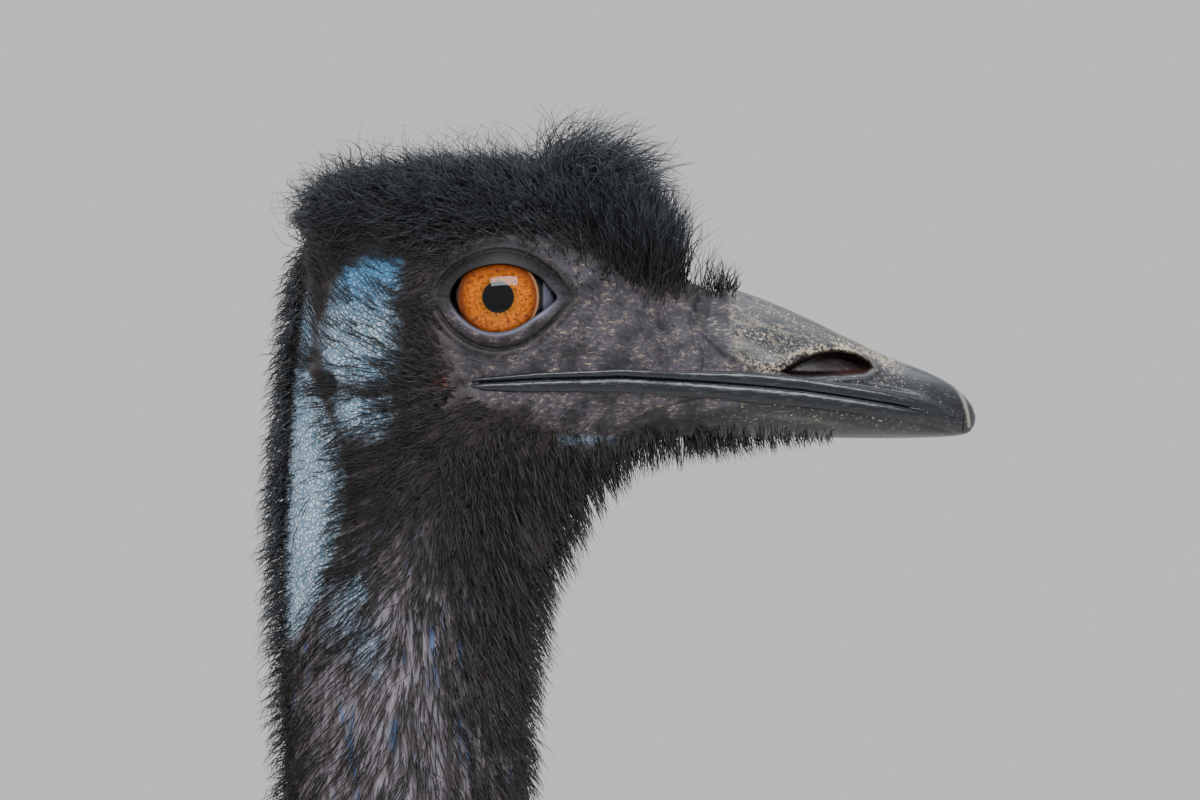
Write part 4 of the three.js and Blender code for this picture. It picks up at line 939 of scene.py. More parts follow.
billSize = {
    "step": 0.03, "overTop": 120, "under": 12, "gap": 0.22, "nostrilDepth": 6.2, "mouthTries": 300,
}
nostrilLeaf = np.array([
    [68.4, -18.2], [71, -16.6], [74.5, -14.6], [79, -12.9], [84, -12.4], [88.5, -13.4], [91.8, -15.4],
    [92.6, -17.2], [90.4, -18.6], [84, -19.2], [77, -19.4], [72, -19.2],
])
bareHornPatch = np.array([
    [40, 6], [52, 3], [62, 2], [74, -4], [86, -10], [98, -15], [90, -12], [74, -12], [64, -18], [40, -20],
])
nailLine = np.array([[112.6, -20.4], [114.3, -22.6], [115.6, -25.5], [116.4, -28.5], [116.8, -31.5]])


def mouthAt(x):
    return np.interp(x, mouthLine[:, 0], mouthLine[:, 1])


# The angle off the back at which a ring crosses the mouth line, and pi where it doesn't
def mouthAngle(station):
    angle = np.linspace(0.2, math.pi, billSize["mouthTries"])
    ring = formPoints(billForm, np.full(len(angle), station), angle)
    under = ring[:, 2] < mouthAt(ring[:, 0])
    if not under.any():
        return math.pi
    first = int(np.argmax(under))
    gaps = ring[:, 2] - mouthAt(ring[:, 0])
    share = gaps[first - 1] / (gaps[first - 1] - gaps[first])
    return mix(angle[first - 1], angle[first], share)


def billDetail(p, upper):
    flat, side = p[:, [0, 2]], np.sign(p[:, 1])
    sideways = smooth(np.abs(p[:, 1]), 1.0, 3.5)
    fromMouth = p[:, 2] - mouthAt(p[:, 0])
    move = np.zeros(len(p))
    cover = smooth(insideBy(flat, nasalCover), -1.5, 2.5) * smooth(p[:, 0], 54, 60)
    bareHorn = smooth(insideBy(flat, bareHornPatch), -7, 3)
    attributes = {
        "gloss": np.maximum(smooth(p[:, 0], 84, 104) * 0.8, 0.55 * cover),
        "dusty": bareHorn * (1.15 - 0.9 * cover) - 0.25 * smooth(p[:, 0], 98, 108),
        "skinned": smooth(-p[:, 0] + 0.3 * np.maximum(0, -p[:, 2] - 8), -68, -55) * (1 - 0.8 * cover),
        "cavityFloor": np.zeros(len(p)),
    }
    if upper:
        hole = insideBy(flat, nostrilLeaf)
        move -= billSize["nostrilDepth"] * smooth(hole, -0.15, 1.3) - 0.35 * bell(hole, -0.9, 0.7)
        move += 0.55 * smooth(insideBy(flat, nasalCover), -0.5, 0.4) * smooth(-hole, -0.2, 0.6)
        move -= 0.35 * bell(fromMouth, 3.4, 0.7) * smooth(-p[:, 0], -108, -96)
        lowFront = smooth(-p[:, 2], 16.2, 18.0) * smooth(p[:, 0], 80, 87)
        attributes["cavityFloor"] = smooth(hole, 0.0, 0.5) * lowFront
        # The nostril's hole is painted near-black: painted shade inside the recess
        attributes["nostrilShade"] = smooth(hole, 0.0, 0.7) * (1 - 0.8 * lowFront)
        nail = lineDistance(flat, nailLine)
        attributes["pale"] = 0.75 * bell(nail, 0, 0.45)
        move -= 0.25 * bell(nail, 0, 0.4)
    else:
        attributes["nostrilShade"] = np.zeros(len(p))
        attributes["pale"] = 0.14 * bell(fromMouth, -7.2, 0.7) * smooth(p[:, 0], 58, 70) * smooth(-p[:, 0], -92, -80)
        onPlate = smooth(insideBy(flat, lowerPlate), -0.8, 1.2)
        attributes["skinned"] = smooth(-p[:, 0], -64, -53.5) * (1 - 0.62 * onPlate)
        move -= 0.3 * bell(fromMouth, -3.6, 0.6)
    moved = p.copy()
    moved[:, 1] += side * move * sideways
    return moved, attributes


def billHalf(upper):
    z = billSize
    rings = []
    for station in np.arange(0, len(billForm) - 1 + z["step"] / 2, z["step"]):
        opened = mouthAngle(station)
        if not upper and opened > math.pi - 0.35:
            break
        ends = (-opened, opened) if upper else (opened, math.tau - opened)
        turn = np.linspace(*ends, z["overTop"])
        ring = formPoints(billForm, np.full(z["overTop"], station), turn)
        share = (np.arange(z["under"]) + 1)[:, None] / (z["under"] + 1)
        closing = mix(ring[-1], ring[0], share)
        closing[:, 2] += (1 if upper else -1) * 1.2 * np.sin(share[:, 0] * math.pi) * min(1, abs(ring[0, 1]) / 6)
        whole = np.vstack([ring, closing])
        opening = z["gap"] * mix(0.2, 1, smooth(-whole[:, 0], -108, -96))
        whole[:, 2] += (1 if upper else -1) * opening * smooth(-np.abs(whole[:, 2] - mouthAt(whole[:, 0])), -3, 0)
        if station == 0:
            # The sheath starts inside the skin and comes out of it without a step
            inner = mix(whole, whole.mean(0), 0.12) - [2.5, 0, 0]
            rings.append(inner)
        rings.append(whole)
    points, triangles = loft(np.array(rings))
    points, attributes = billDetail(points, upper)
    return points, triangles, attributes


billTrees = {}
for upper, name, node in ((True, "bill_sheath_upper", "bill_upper"), (False, "bill_sheath_lower", "bill_lower")):
    points, triangles, attributes = billHalf(upper)
    billTrees[upper] = BVHTree.FromPolygons(points.tolist(), triangles.tolist())
    makePiece(name, points, triangles, [hornMaterial], "bill", attributes, replaces=[node])
print("bill ready")

# Horny lips: a rounded rim along each side of the mouth line, from the gape to near the tip

# Along the mouth: place, half height; then how far out a lip stands, and where it ends
lipSize = {
    "upper": {
        "tall": [[-8.6, 0.5], [10, 0.85], [45, 1.15], [60, 1.6], [95, 1.5], [113.5, 0.9]],
        "out": 1.0, "above": 1, "end": 113.5,
    },
    "lower": {
        "tall": [[-8.6, 0.8], [5, 1.5], [30, 1.9], [70, 2.1], [100, 1.5], [110, 0.7]],
        "out": 1.15, "above": -1, "end": 112.4,
    },
    "rings": 190, "around": 18,
}


def lip(side, spec, upper):
    x = np.linspace(-8.6, spec["end"], lipSize["rings"])
    t = np.linspace(0, 1, len(x))
    taper = smooth(t, -0.01, 0.05) * smooth(-t, -1.01, -0.9)
    tall = np.interp(x, *np.array(spec["tall"]).T)
    z = mouthAt(x) + spec["above"] * (tall * 0.96 + 0.1)
    y = np.array([
        max(sideAt(a, b, side), sideAt(a, b, side, billTrees[upper])) for a, b in zip(x, z)
    ])
    y = np.convolve(np.pad(y, 5, mode="edge"), np.ones(11) / 11, mode="valid")
    a = np.arange(lipSize["around"]) / lipSize["around"] * math.tau
    tall, out = tall * taper, spec["out"] * mix(1, 0.7, t) * taper
    rings = np.stack([
        np.broadcast_to(x[:, None], (len(x), len(a))),
        side * (y[:, None] - 0.15 + np.cos(a) * out[:, None]),
        z[:, None] + np.sin(a) * tall[:, None],
    ], -1)
    return loft(rings)


for sideName, side in sides.items():
    for name in ("upper", "lower"):
        made = lip(side, lipSize[name], name == "upper")
        makePiece(f"lip_{name}_{sideName}", *made, [lipMaterial], "bill")
print("lips ready")

# Coats. Each hair or feather is a closed, tapered blade of three sides on its own line.

coatSeed = 45
trianglesMade = {}
uvPatch = 0.003
# How deep a hair's root sits and how far its first step lifts it, in mm; then how many stations
# and radians one step of a hair may cross
rootSink, firstRise = 0.6, 0.15
mostAlong, mostAround = 0.8, 0.3


def seeded(name):
    return np.random.default_rng(coatSeed + sum(map(ord, name)))


def countOf(spec):
    return spec["count"] // 1


def bladeMesh(lines, ups, halfWidth, thick):
    count, steps = lines.shape[:2]
    ahead = unit(np.gradient(lines, axis=1))
    side = unit(np.cross(ahead, ups))
    up = np.cross(side, ahead)
    middle = lines - up * (thick / 3)[..., None]
    rings = np.stack([
        middle + side * halfWidth[..., None], middle + up * thick[..., None], middle - side * halfWidth[..., None],
    ], 2)[:, :-1]
    points = np.concatenate([rings.reshape(count, -1, 3), lines[:, -1:]], 1)
    faces = [[0, 2, 1]]
    for r in range(steps - 2):
        for i in range(3):
            a, b = r * 3 + i, r * 3 + (i + 1) % 3
            faces += [[a, b, b + 3], [a, b + 3, a + 3]]
    end = (steps - 2) * 3
    faces += [[end, end + 1, end + 3], [end + 1, end + 2, end + 3], [end + 2, end, end + 3]]
    faces = np.array(faces)
    per = points.shape[1]
    triangles = (faces[None] + (np.arange(count) * per)[:, None, None]).reshape(-1, 3)
    points = points.reshape(-1, 3)
    ring = np.concatenate([np.repeat(np.arange(steps - 1), 3), [steps - 1]])
    corner = np.concatenate([np.tile([0, 0.5, 1], steps - 1), [0.5]])
    patch = np.stack([corner - 0.5, ring / (steps - 1) - 0.5], -1) * uvPatch
    return points, outwards(points, triangles), np.tile(ring / (steps - 1), count), patch


def addCoat(name, lines, ups, widths, materials, slot, chart, shade, taper=1.3, flat=0.55, second=None):
    steps = lines.shape[1]
    t = np.linspace(0, 1, steps)
    spread = np.where(t < 0.3, mix(0.75, 1.0, t / 0.3), 1 - 0.8 * np.clip((t - 0.3) / 0.7, 0, 1) ** taper)
    half = widths[:, None] * 0.5 * spread[None]
    points, triangles, along, patch = bladeMesh(lines, ups, half, half * 2 * flat)
    per = len(points) // len(lines)
    uv = (chart[:, None] + patch[None]).reshape(-1, 2)
    trianglesMade[name] = len(triangles)
    faceMaterial = None if second is None else np.repeat(second, len(triangles) // len(lines))
    return makePiece(
        name, points, triangles, materials, slot, {"along": along, "shade": np.repeat(shade, per)}, uv=uv,
        faceMaterial=faceMaterial,
    )


# Where a root lies on an unwrap of the body form: station one way, angle the other
def chartOf(station, angle):
    return np.stack([0.01 + 0.9 * station / lastStation, 0.01 + 0.98 * (angle % math.tau) / math.tau], -1)


# The way the hair lies on the side of head and neck: place in side view, direction there
lieGuides = np.array([
    [56, 4, 0.45, 0.9], [50, 8, 0.3, 0.95], [43, 12, 0.15, 1], [34, 8, 0.05, 1], [33, 18, -0.1, 1],
    [22, 14, -0.35, 0.9], [22, 25, -0.35, 0.95], [8, 17, -0.7, 0.7], [8, 28, -0.75, 0.5],
    [-6, 17, -0.9, 0.35], [-8, 29, -0.95, 0.1], [-20, 18, -0.95, 0.0], [-25, 29, -1, 0.1],
    [-36, 20, -0.9, 0.2], [-46, 12, -0.75, 0.5], [-13, 9, -0.85, -0.25], [-20, 4, -0.85, -0.45],
    [-30, 10, -0.75, 0.5], [-30, 1, -0.7, 0.7], [-40, -4, -0.7, 0.65], [-49, -6, -0.75, 0.6],
    [-15, -8, -0.75, 0.6], [-24, -10, -0.78, 0.6], [-38, -14, -0.9, 0.35], [-14, -16, -0.9, 0.3],
    [-26, -18, -0.92, 0.3], [-40, -22, -1, 0.05], [-50, -24, -1, 0.0], [-18, -24, -0.95, 0.1],
    [-30, -27, -1, 0.0], [0, -17, -0.9, -0.25], [20, -18, -0.9, -0.2], [-5, -27, -0.95, -0.2],
    [15, -29, -0.9, -0.4], [35, -32, -0.75, -0.6], [48, -36, -0.1, -1], [30, -42, 0.0, -1],
    [18, -46, 0.0, -1], [-20, -33, -0.92, -0.35], [-36, -33, -0.95, -0.3], [-47, -40, -0.97, -0.2],
    [-8, -38, -0.55, -0.8], [6, -44, 0.0, -1], [-22, -46, -0.75, -0.65], [-37, -50, -0.95, -0.3],
    [-15, -60, -0.1, -1], [-28, -64, -0.75, -0.65], [-43, -66, -0.93, -0.35], [0, -62, 0.15, -1],
    [12, -56, 0.25, -1], [-19, -80, 0.0, -1], [-33, -84, -0.75, -0.65], [-45, -90, -0.84, -0.54],
    [-6, -84, 0.25, -1], [4, -90, 0.35, -0.95], [-19, -107, 0.05, -1], [-30, -107, -0.4, -0.92],
    [-43, -108, -0.8, -0.6], [-8, -107, 0.4, -0.92], [4, -110, 0.4, -0.92], [-48, -140, -0.45, -0.9],
    [-25, -140, -0.05, -1], [0, -140, 0.2, -1], [-46, -190, -0.25, -1], [0, -190, 0.1, -1],
    [-40, -260, -0.1, -1], [10, -260, 0.05, -1], [-38, -360, -0.15, -1], [20, -360, 0.05, -1],
])


def headLie(p):
    away = p[:, None, [0, 2]] - lieGuides[None, :, :2]
    weight = 1 / ((away ** 2).sum(-1) + 6) ** 1.6
    way = (weight[..., None] * lieGuides[None, :, 2:]).sum(1)
    return unit(np.stack([way[:, 0], np.zeros(len(p)), way[:, 1]], -1))


def pickRoots(rng, count, stations, angles, density):
    tries = count * 9
    station, angle = rng.uniform(*stations, tries), rng.uniform(*angles, tries)
    point, normal, alongForm, aroundForm = skinAt(station, angle)
    chance = np.linalg.norm(np.cross(alongForm, aroundForm), axis=1) * density(point, normal)
    rate = chance / chance.sum()
    chosen = rng.choice(tries, min(count, int((chance > 0).sum())), replace=False, p=rate)
    return station[chosen], angle[chosen]


# The hair each hair leans to: the nearest of a few leaders picked from all
def lockLeaders(rng, root, size):
    count = len(root)
    leaders = rng.choice(count, max(2, count // size), replace=False)
    follows = np.empty(count, int)
    for part in np.array_split(np.arange(count), max(1, count // 2000)):
        follows[part] = leaders[((root[part, None] - root[leaders][None]) ** 2).sum(-1).argmin(1)]
    return follows


# Hair that follows the skin: it walks over the body form and rises from it, curls, and in part
# draws together with its neighbours into small locks
def growHair(name, spec, density, side=0):
    rng = seeded(name)
    angles = {1: (0, math.pi), -1: (math.pi, math.tau), 0: (0, math.tau)}[side]
    station, angle = pickRoots(rng, countOf(spec), spec["stations"], angles, density)
    count, steps = len(station), spec["steps"]
    chart = chartOf(station, angle)
    root, rootNormal = skinAt(station, angle)[:2]
    length = spec["length"](*root.T) * rng.uniform(0.7, 1.25, count)
    stray = rng.random(count) < spec.get("strays", 0.05)
    turn = np.radians(rng.normal(0, spec["wander"], count)) * np.where(stray, 2.0, 1.0)
    tiltRoot, tiltTip = (np.radians(v) * rng.uniform(0.6, 1.4, count) for v in spec["tilt"])
    tiltTip = tiltTip + stray * math.radians(12)
    if "topLift" in spec:
        lift = mix(*spec["topLift"], smooth(rootNormal[:, 2], 0.3, 0.95))
        tiltRoot, tiltTip = tiltRoot * lift, tiltTip * lift
    lines, ups = [], []
    rise = np.full(count, -rootSink)
    for k in range(steps + 1):
        point, normal, along, around = skinAt(np.clip(station, 0.02, lastStation), angle)
        lines.append(point + normal * rise[:, None])
        ups.append(normal)
        if k == steps:
            break
        way = headLie(point)
        way = unit(way - normal * dot(way, normal))
        across = np.cross(normal, way)
        way = way * np.cos(turn)[:, None] + across * np.sin(turn)[:, None]
        tilt = mix(tiltRoot, tiltTip, k / steps)
        ground, climb = length / steps * np.cos(tilt), length / steps * np.sin(tilt)
        target = way * ground[:, None]
        a11, a12, a22 = (dot(*pair)[:, 0] for pair in ((along, along), (along, around), (around, around)))
        b1, b2 = dot(along, target)[:, 0], dot(around, target)[:, 0]
        det = np.maximum(a11 * a22 - a12 ** 2, 1e-3)
        station = station + np.clip((b1 * a22 - b2 * a12) / det, -mostAlong, mostAlong)
        angle = angle + np.clip((a11 * b2 - a12 * b1) / det, -mostAround, mostAround)
        rise = rise + climb + (rootSink + firstRise if k == 0 else 0)
    lines, ups = np.stack(lines, 1), np.stack(ups, 1)
    shade = rng.random(count) ** 1.5
    t = np.linspace(0, 1, steps + 1)
    amp, turns = spec["curl"]
    phase = rng.uniform(0, math.tau, count)
    size, strength = spec["lock"]
    follows = lockLeaders(rng, root, size)
    pull = (strength * t ** 1.1)[None, :, None] * rng.uniform(0.5, 1.0, count)[:, None, None]
    lines = lines + (lines[follows] - lines) * pull * (1 - stray)[:, None, None]
    phase = np.where(stray, phase, phase[follows] + rng.normal(0, 0.5, count))
    shade = mix(shade, shade[follows], 0.6)
    ahead = unit(np.gradient(lines, axis=1))
    aside = unit(np.cross(ahead, ups))
    swing = amp * rng.uniform(0.4, 1.3, count)[:, None] * t[None] ** 1.2
    wave = phase[:, None] + t[None] * turns * math.tau
    lines = lines + aside * (swing * np.sin(wave) - swing * np.sin(phase)[:, None])[..., None]
    lines = lines + ups * (np.maximum(0, swing * (1 + np.cos(wave)) * 0.5) * 0.6)[..., None]
    widths = spec["width"] * rng.uniform(0.7, 1.3, count)
    materials, second = [spec["material"]], None
    if "browning" in spec:
        second = (rng.random(count) < smooth(-root[:, 2], *spec["browning"])).astype(int)
        materials.append(plumageMaterial)
    return addCoat(name, lines, ups, widths, materials, spec["slot"], chart, shade, flat=0.8, second=second)


# Hair that stands free: it leaves its root along one direction, bends to another, and curls.
# A direction is a share of the skin's normal with a fixed one added, or a function of the place.
def standHair(name, spec, root, normal, chart, rng):
    count, steps = len(root), spec["steps"]
    long = spec["length"]
    length = (long(*root.T) if callable(long) else long) * rng.uniform(0.6, 1.25, count)
    jitter = rng.normal(0, 1, (2, count, 3)) * spec["spread"]
    start, stop = (
        unit((way(root, normal) if callable(way) else normal * way[0] + way[1]) + stray)
        for way, stray in zip((spec["leave"], spec["arrive"]), jitter)
    )
    p, lines = root - normal * rootSink, []
    for k in range(steps + 1):
        lines.append(p)
        p = p + unit(mix(start, stop, (k / steps) ** 0.8)) * (length / steps)[:, None]
    lines = np.stack(lines, 1)
    t = np.linspace(0, 1, steps + 1)
    amp, turns = spec["curl"]
    ahead = unit(np.gradient(lines, axis=1))
    aside = unit(np.cross(ahead, normal[:, None] + 0.01))
    other = np.cross(ahead, aside)
    phase = rng.uniform(0, math.tau, count)[:, None]
    swing = amp * rng.uniform(0.3, 1.4, count)[:, None] * t ** 1.3
    wave = phase + t * turns * math.tau
    lines = lines + aside * (swing * np.sin(wave))[..., None] + other * (swing * np.cos(wave) * 0.8)[..., None]
    ups = np.broadcast_to(normal[:, None], lines.shape)
    ups = unit(ups - ahead * dot(ups, ahead) + 1e-4)
    widths = spec["width"] * rng.uniform(0.7, 1.3, count)
    shade = rng.random(count) ** 1.2
    return addCoat(name, lines, ups, widths, [spec["material"]], spec["slot"], chart, shade, flat=0.8)


def standOn(name, spec):
    rng = seeded(name)
    station, angle = pickRoots(rng, countOf(spec), spec["stations"], (0, math.tau), spec["density"])
    root, normal = skinAt(station, angle)[:2]
    return standHair(name, spec, root, normal, chartOf(station, angle), rng)


# How densely each kind of hair grows, from the place and the skin's normal

def patchCover(p, name, grow=0.0):
    outline, soft = bluePatches[name][:2]
    return smooth(insideBy(p[:, [0, 2]], np.array(outline)) + grow, -soft, soft)


def hairCover(p):
    return smooth(-insideBy(p[:, [0, 2]], bareFace), -0.8, 2.6)


# Thinner over the pale patches, gone on the bare side of the nape
def thinned(p):
    bare = 0.8 * np.maximum(patchCover(p, "temple", 1.5), patchCover(p, "behindEye", 1.5))
    bare = np.maximum(bare, 0.72 * patchCover(p, "jaw", 1.0))
    return (1 - bare) * (1 - 0.97 * patchCover(p, "nape", 0.6)) * (1 - 0.6 * patchCover(p, "spot"))


def crownHair(p, n):
    x, y, z = p.T
    return smooth(z + 0.12 * np.minimum(x, 0), 5, 21) * smooth(-x, -46, -36) * hairCover(p) * thinned(p)


def foreheadHair(p, n):
    x, y, z = p.T
    beyond = -insideBy(p[:, [0, 2]], bareFace)
    sparse = mix(0.1, 1.0, smooth(beyond, 0, 13)) * mix(0.22, 1.0, smooth(-x, -50, -34))
    return smooth(x, 12, 26) * smooth(beyond, -5, 1) * smooth(z, -5, 0) * sparse


def faceHair(p, n):
    x, y, z = p.T
    onFace = smooth(insideBy(p[:, [0, 2]], bareFace), -1, 1)
    down = smooth(-z, -27, -14) * smooth(z, -54, -42)
    jawline = 0.22 * onFace * smooth(-z, 24, 28) * smooth(-x, -30, -5)
    brow = 0.1 * onFace * smooth(z, 8, 12)
    below = np.clip(smooth(np.abs(z - mouthAt(x)), 2.2, 3.6) + (x < -9), 0, 1)
    sideways = smooth(np.abs(y), 2, 8)
    return (hairCover(p) + jawline + brow) * down * smooth(-x, -58, -52) * thinned(p) * below * sideways


def throatHair(p, n):
    under = smooth(-n[:, 2] + 0.9 * n[:, 0], 0.1, 0.65)
    return under * smooth(-p[:, 2], 30, 34) * smooth(p[:, 2], -190, -60)


def neckHair(p, n):
    x, y, z = p.T
    dense = mix(0.36, 1.0, smooth(z - 0.2 * x, -84, -48))
    return smooth(-z, 42, 54) * smooth(z, -160, -140) * thinned(p) * smooth(np.abs(y), 3, 9) * dense


def napeHair(p, n):
    return smooth(-n[:, 0], 0.86, 0.99) ** 2 * smooth(-p[:, 2], -16, -2) * smooth(p[:, 2], -200, -160)


def lowerNeckHair(p, n):
    return smooth(-p[:, 2], 128, 150)


def crestHair(p, n):
    x, y, z = p.T
    return smooth(z, 20, 24) * smooth(x, 8, 14) * smooth(-np.abs(y), -18, -10)


def backTuftHair(p, n):
    return smooth(p[:, 2], 20, 25) * smooth(-p[:, 0], 30, 34)


def wispHair(p, n):
    return smooth(p[:, 2], 8, 22) * hairCover(p)


browLine = np.array([[-13, 8], [-8, 12.6], [0, 14.3], [8, 13.4], [15, 10.6], [20, 8]])


def browHair(p, n):
    return bell(lineDistance(p[:, [0, 2]], browLine), 0, 0.7)


# Lengths and widths in mm, wander and tilt in degrees. A lock is how many hairs share a leader
# and how far they lean to it; a curl is its reach and its turns.
onHead = {"slot": "skin", "material": crownHairMaterial}
onCheek = {"slot": "skin", "material": cheekHairMaterial}
onNeck = {"slot": "neck_coat", "material": cheekHairMaterial, "wander": 9, "tilt": (12, 8)}
hairSpecs = {
    "crown": {
        **onHead, "count": 2930, "stations": (0.6, 12), "steps": 5, "width": 0.25, "strays": 0.16,
        "length": lambda x, y, z: mix(13, 15, smooth(-x, 0, 40)), "topLift": (0.4, 1.35),
        "wander": 30, "tilt": (19, 26), "curl": (2.8, 1.15), "lock": (9, 0.55),
    },
    "face": {
        **onCheek, "count": 6140, "stations": (0.02, 14), "steps": 3, "width": 0.21,
        "length": lambda x, y, z: mix(4.0, 8.2, smooth(-x - 0.5 * z, 4, 34)),
        "wander": 11, "tilt": (15, 8), "curl": (0.6, 0.5), "lock": (4, 0.3),
    },
    "neck": {
        **onNeck, "count": 4450, "stations": (8, 17.6), "steps": 3, "width": 0.23,
        "length": lambda x, y, z: mix(7.5, 10.5, smooth(-z, 50, 110)),
        "wander": 10, "tilt": (12, 7), "curl": (0.8, 0.5), "lock": (6, 0.5),
    },
    "neck_middle": {
        **onNeck, "count": 6760, "stations": (15.4, 20.6), "steps": 3, "width": 0.62,
        "length": lambda x, y, z: mix(12, 34, smooth(-z, 140, 360)),
        "tilt": (13, 8), "curl": (1.4, 0.5), "lock": (9, 0.55),
    },
    "neck_lower": {
        **onNeck, "count": 3200, "stations": (19.6, 23.6), "steps": 4, "width": 1.5,
        "length": lambda x, y, z: mix(34, 78, smooth(-z, 340, 560)),
        "curl": (2.6, 0.5), "lock": (9, 0.5), "browning": (390, 560),
    },
}
for sideName, side in sides.items():
    for name, density in (("crown", crownHair), ("face", faceHair), ("neck", neckHair)):
        growHair(f"hair_{name}_{sideName}", hairSpecs[name], density, side)
for name in ("neck_middle", "neck_lower"):
    growHair(f"hair_{name}", hairSpecs[name], lowerNeckHair)


# The forehead's hair stands up, behind it leans back and in front a little ahead
def foreheadWay(p, n):
    return n * 0.1 + np.stack([mix(-0.7, 0.25, smooth(p[:, 0], 22, 50)), 0.25 * n[:, 1], 1.0 + 0 * n[:, 1]], -1)


standSpecs = {
    "forehead": {
        **onHead, "count": 3820, "stations": (0.02, 5.2), "steps": 4, "width": 0.23, "density": foreheadHair,
        "length": lambda x, y, z: mix(12, 17.5, smooth(x, 18, 42)) * mix(1, 0.62, smooth(x, 44, 54)),
        "leave": (0.55, (-0.05, 0, 1.0)), "arrive": foreheadWay, "spread": 0.32, "curl": (2.4, 0.9),
    },
    "crest": {
        **onHead, "count": 1020, "stations": (2.2, 4.4), "steps": 6, "width": 0.27, "density": crestHair,
        "length": 23, "leave": (0.4, (0.1, 0, 1.0)), "arrive": (0.2, (0.35, 0, -0.25)), "spread": 0.3,
        "curl": (3.6, 1.0),
    },
    "back_tuft": {
        **onHead, "count": 260, "stations": (6.6, 9.0), "steps": 6, "width": 0.27, "density": backTuftHair,
        "length": 14, "leave": (0.6, (-0.9, 0, 0.6)), "arrive": (0.3, (-0.7, 0, 0.4)), "spread": 0.35,
        "curl": (3.2, 1.2),
    },
    "wisps": {
        **onHead, "count": 620, "stations": (1.2, 10), "steps": 6, "width": 0.2, "density": wispHair,
        "length": 15, "leave": (0.7, (-0.4, 0, 0.5)), "arrive": (0.5, (-0.5, 0, 0.2)), "spread": 0.4,
        "curl": (3.6, 1.5),
    },
    "throat": {
        **onCheek, "count": 4620, "stations": (0.05, 17), "steps": 4, "width": 0.26, "density": throatHair,
        "length": lambda x, y, z: mix(8.5, 11, smooth(-z, 36, 60)) * mix(1, 0.8, smooth(-z, 80, 120)),
        "leave": (0.75, (0.05, 0, -0.6)), "arrive": (0.12, (0.12, 0, -1.0)), "spread": 0.2, "curl": (0.9, 0.5),
    },
    "nape": {
        **onHead, "slot": "neck_coat", "count": 3020, "stations": (8.6, 18), "steps": 4, "width": 0.27,
        "density": napeHair, "length": 9.0, "leave": (0.8, (-0.2, 0, -0.25)), "arrive": (0.2, (-0.1, 0, -1.0)),
        "spread": 0.3, "curl": (1.7, 0.8),
    },
    "brow_bristles": {
        **onHead, "count": 260, "stations": (1.5, 7), "steps": 3, "width": 0.26, "density": browHair,
        "length": 3.4, "leave": (0.8, (0.2, 0, -0.3)), "arrive": (0.4, (0.3, 0, -0.8)), "spread": 0.25,
        "curl": (0.4, 0.5),
    },
}
for name, spec in standSpecs.items():
    standOn(f"hair_{name}", spec)

# Short hair of the bare fold under the lower bill, and the thin front edge over the culmen
billHairSpecs = {
    "chin": {
        **onCheek, "count": 620, "steps": 3, "length": lambda x, y, z: mix(7.0, 3.0, smooth(x, 50, 84)),
        "spread": 0.3, "curl": (0.6, 0.5), "leave": (0.3, (0.2, 0, -1.0)), "arrive": (0.1, (0.45, 0, -1.0)),
        "width": 0.23, "stations": (0.0, 3.6), "around": (math.pi - 0.7, math.pi + 0.7),
    },
    "culmen": {
        **onHead, "count": 90, "steps": 4, "length": lambda x, y, z: mix(10, 5, smooth(x, 52, 60)),
        "spread": 0.45, "curl": (1.6, 0.6), "leave": (0.4, (0.15, 0, 1.0)), "arrive": (0.1, (0.45, 0, 1.0)),
        "width": 0.24, "stations": (0.0, 1.1), "around": (-0.5, 0.5),
    },
}
for key, spec in billHairSpecs.items():
    rng = seeded(f"hair_{key}")
    count = countOf(spec)
    share, angle = rng.random(count) ** 1.5, rng.uniform(*spec["around"], count)
    station = mix(*spec["stations"], share)
    root = formPoints(billForm, station, angle)
    level = splineAt(billForm, station)
    normal = unit(root - level[:, [0, 4, 3]] * [1, 0, 0.5] - level[:, [1, 4, 1]] * [0, 0, 0.5])
    normal[:, 0] = 0
    chart = np.stack([0.97 + 0.02 * share, 0.01 + 0.98 * (angle % math.tau) / math.tau], -1)
    standHair(f"hair_{key}", spec, root, unit(normal), chart, rng)
print("head and neck hair:", sum(trianglesMade.values()), "triangles")

# Plumage: loose feathers that leave the body, droop, and hang free below the flanks

bodyStations = np.arange(16, lastStation + 0.01, 0.25)
bodyAngles = (np.arange(64) + 0.5) / 64 * math.tau
coarseBody = loft(formPoints(bodyForm, *np.meshgrid(bodyStations, bodyAngles, indexing="ij")))
underCoat = [coarseBody]
for side in sides.values():
    underCoat.append(loft(limb(legLevels(side)["thigh"], 20, 24)[0]))
    underCoat.append(loft(limb(legLevels(side)["shin"], 20, 24)[0]))
bodyTree = BVHTree.FromPolygons(*[part.tolist() for part in together(underCoat)])


def nearest(points):
    found = [bodyTree.find_nearest(Vector(p)) for p in points]
    return np.array([f[0] for f in found]), np.array([f[1] for f in found])


def bodyLie(p, n):
    top = np.maximum(0, n[:, 2])
    rear = smooth(-p[:, 0], 480, 680)
    apart = 0.75 * np.tanh(p[:, 1] / 40) * top * (1 - rear * 0.5)
    way = np.stack([-mix(0.62, 0.3, rear), apart, -mix(1.15, 0.28, top) - rear * 0.4], -1)
    return way - n * dot(way, n) * (1 - smooth(-n[:, 2], -0.1, 0.4))[:, None]


def neckLie(p, n):
    way = np.tile([-0.12, 0, -1.0], (len(p), 1))
    return way - n * dot(way, n) * (1 - smooth(-n[:, 2], 0.1, 0.6))[:, None]


def legLie(p, n):
    way = np.tile([-0.2, 0, -1.0], (len(p), 1))
    return way - n * dot(way, n)


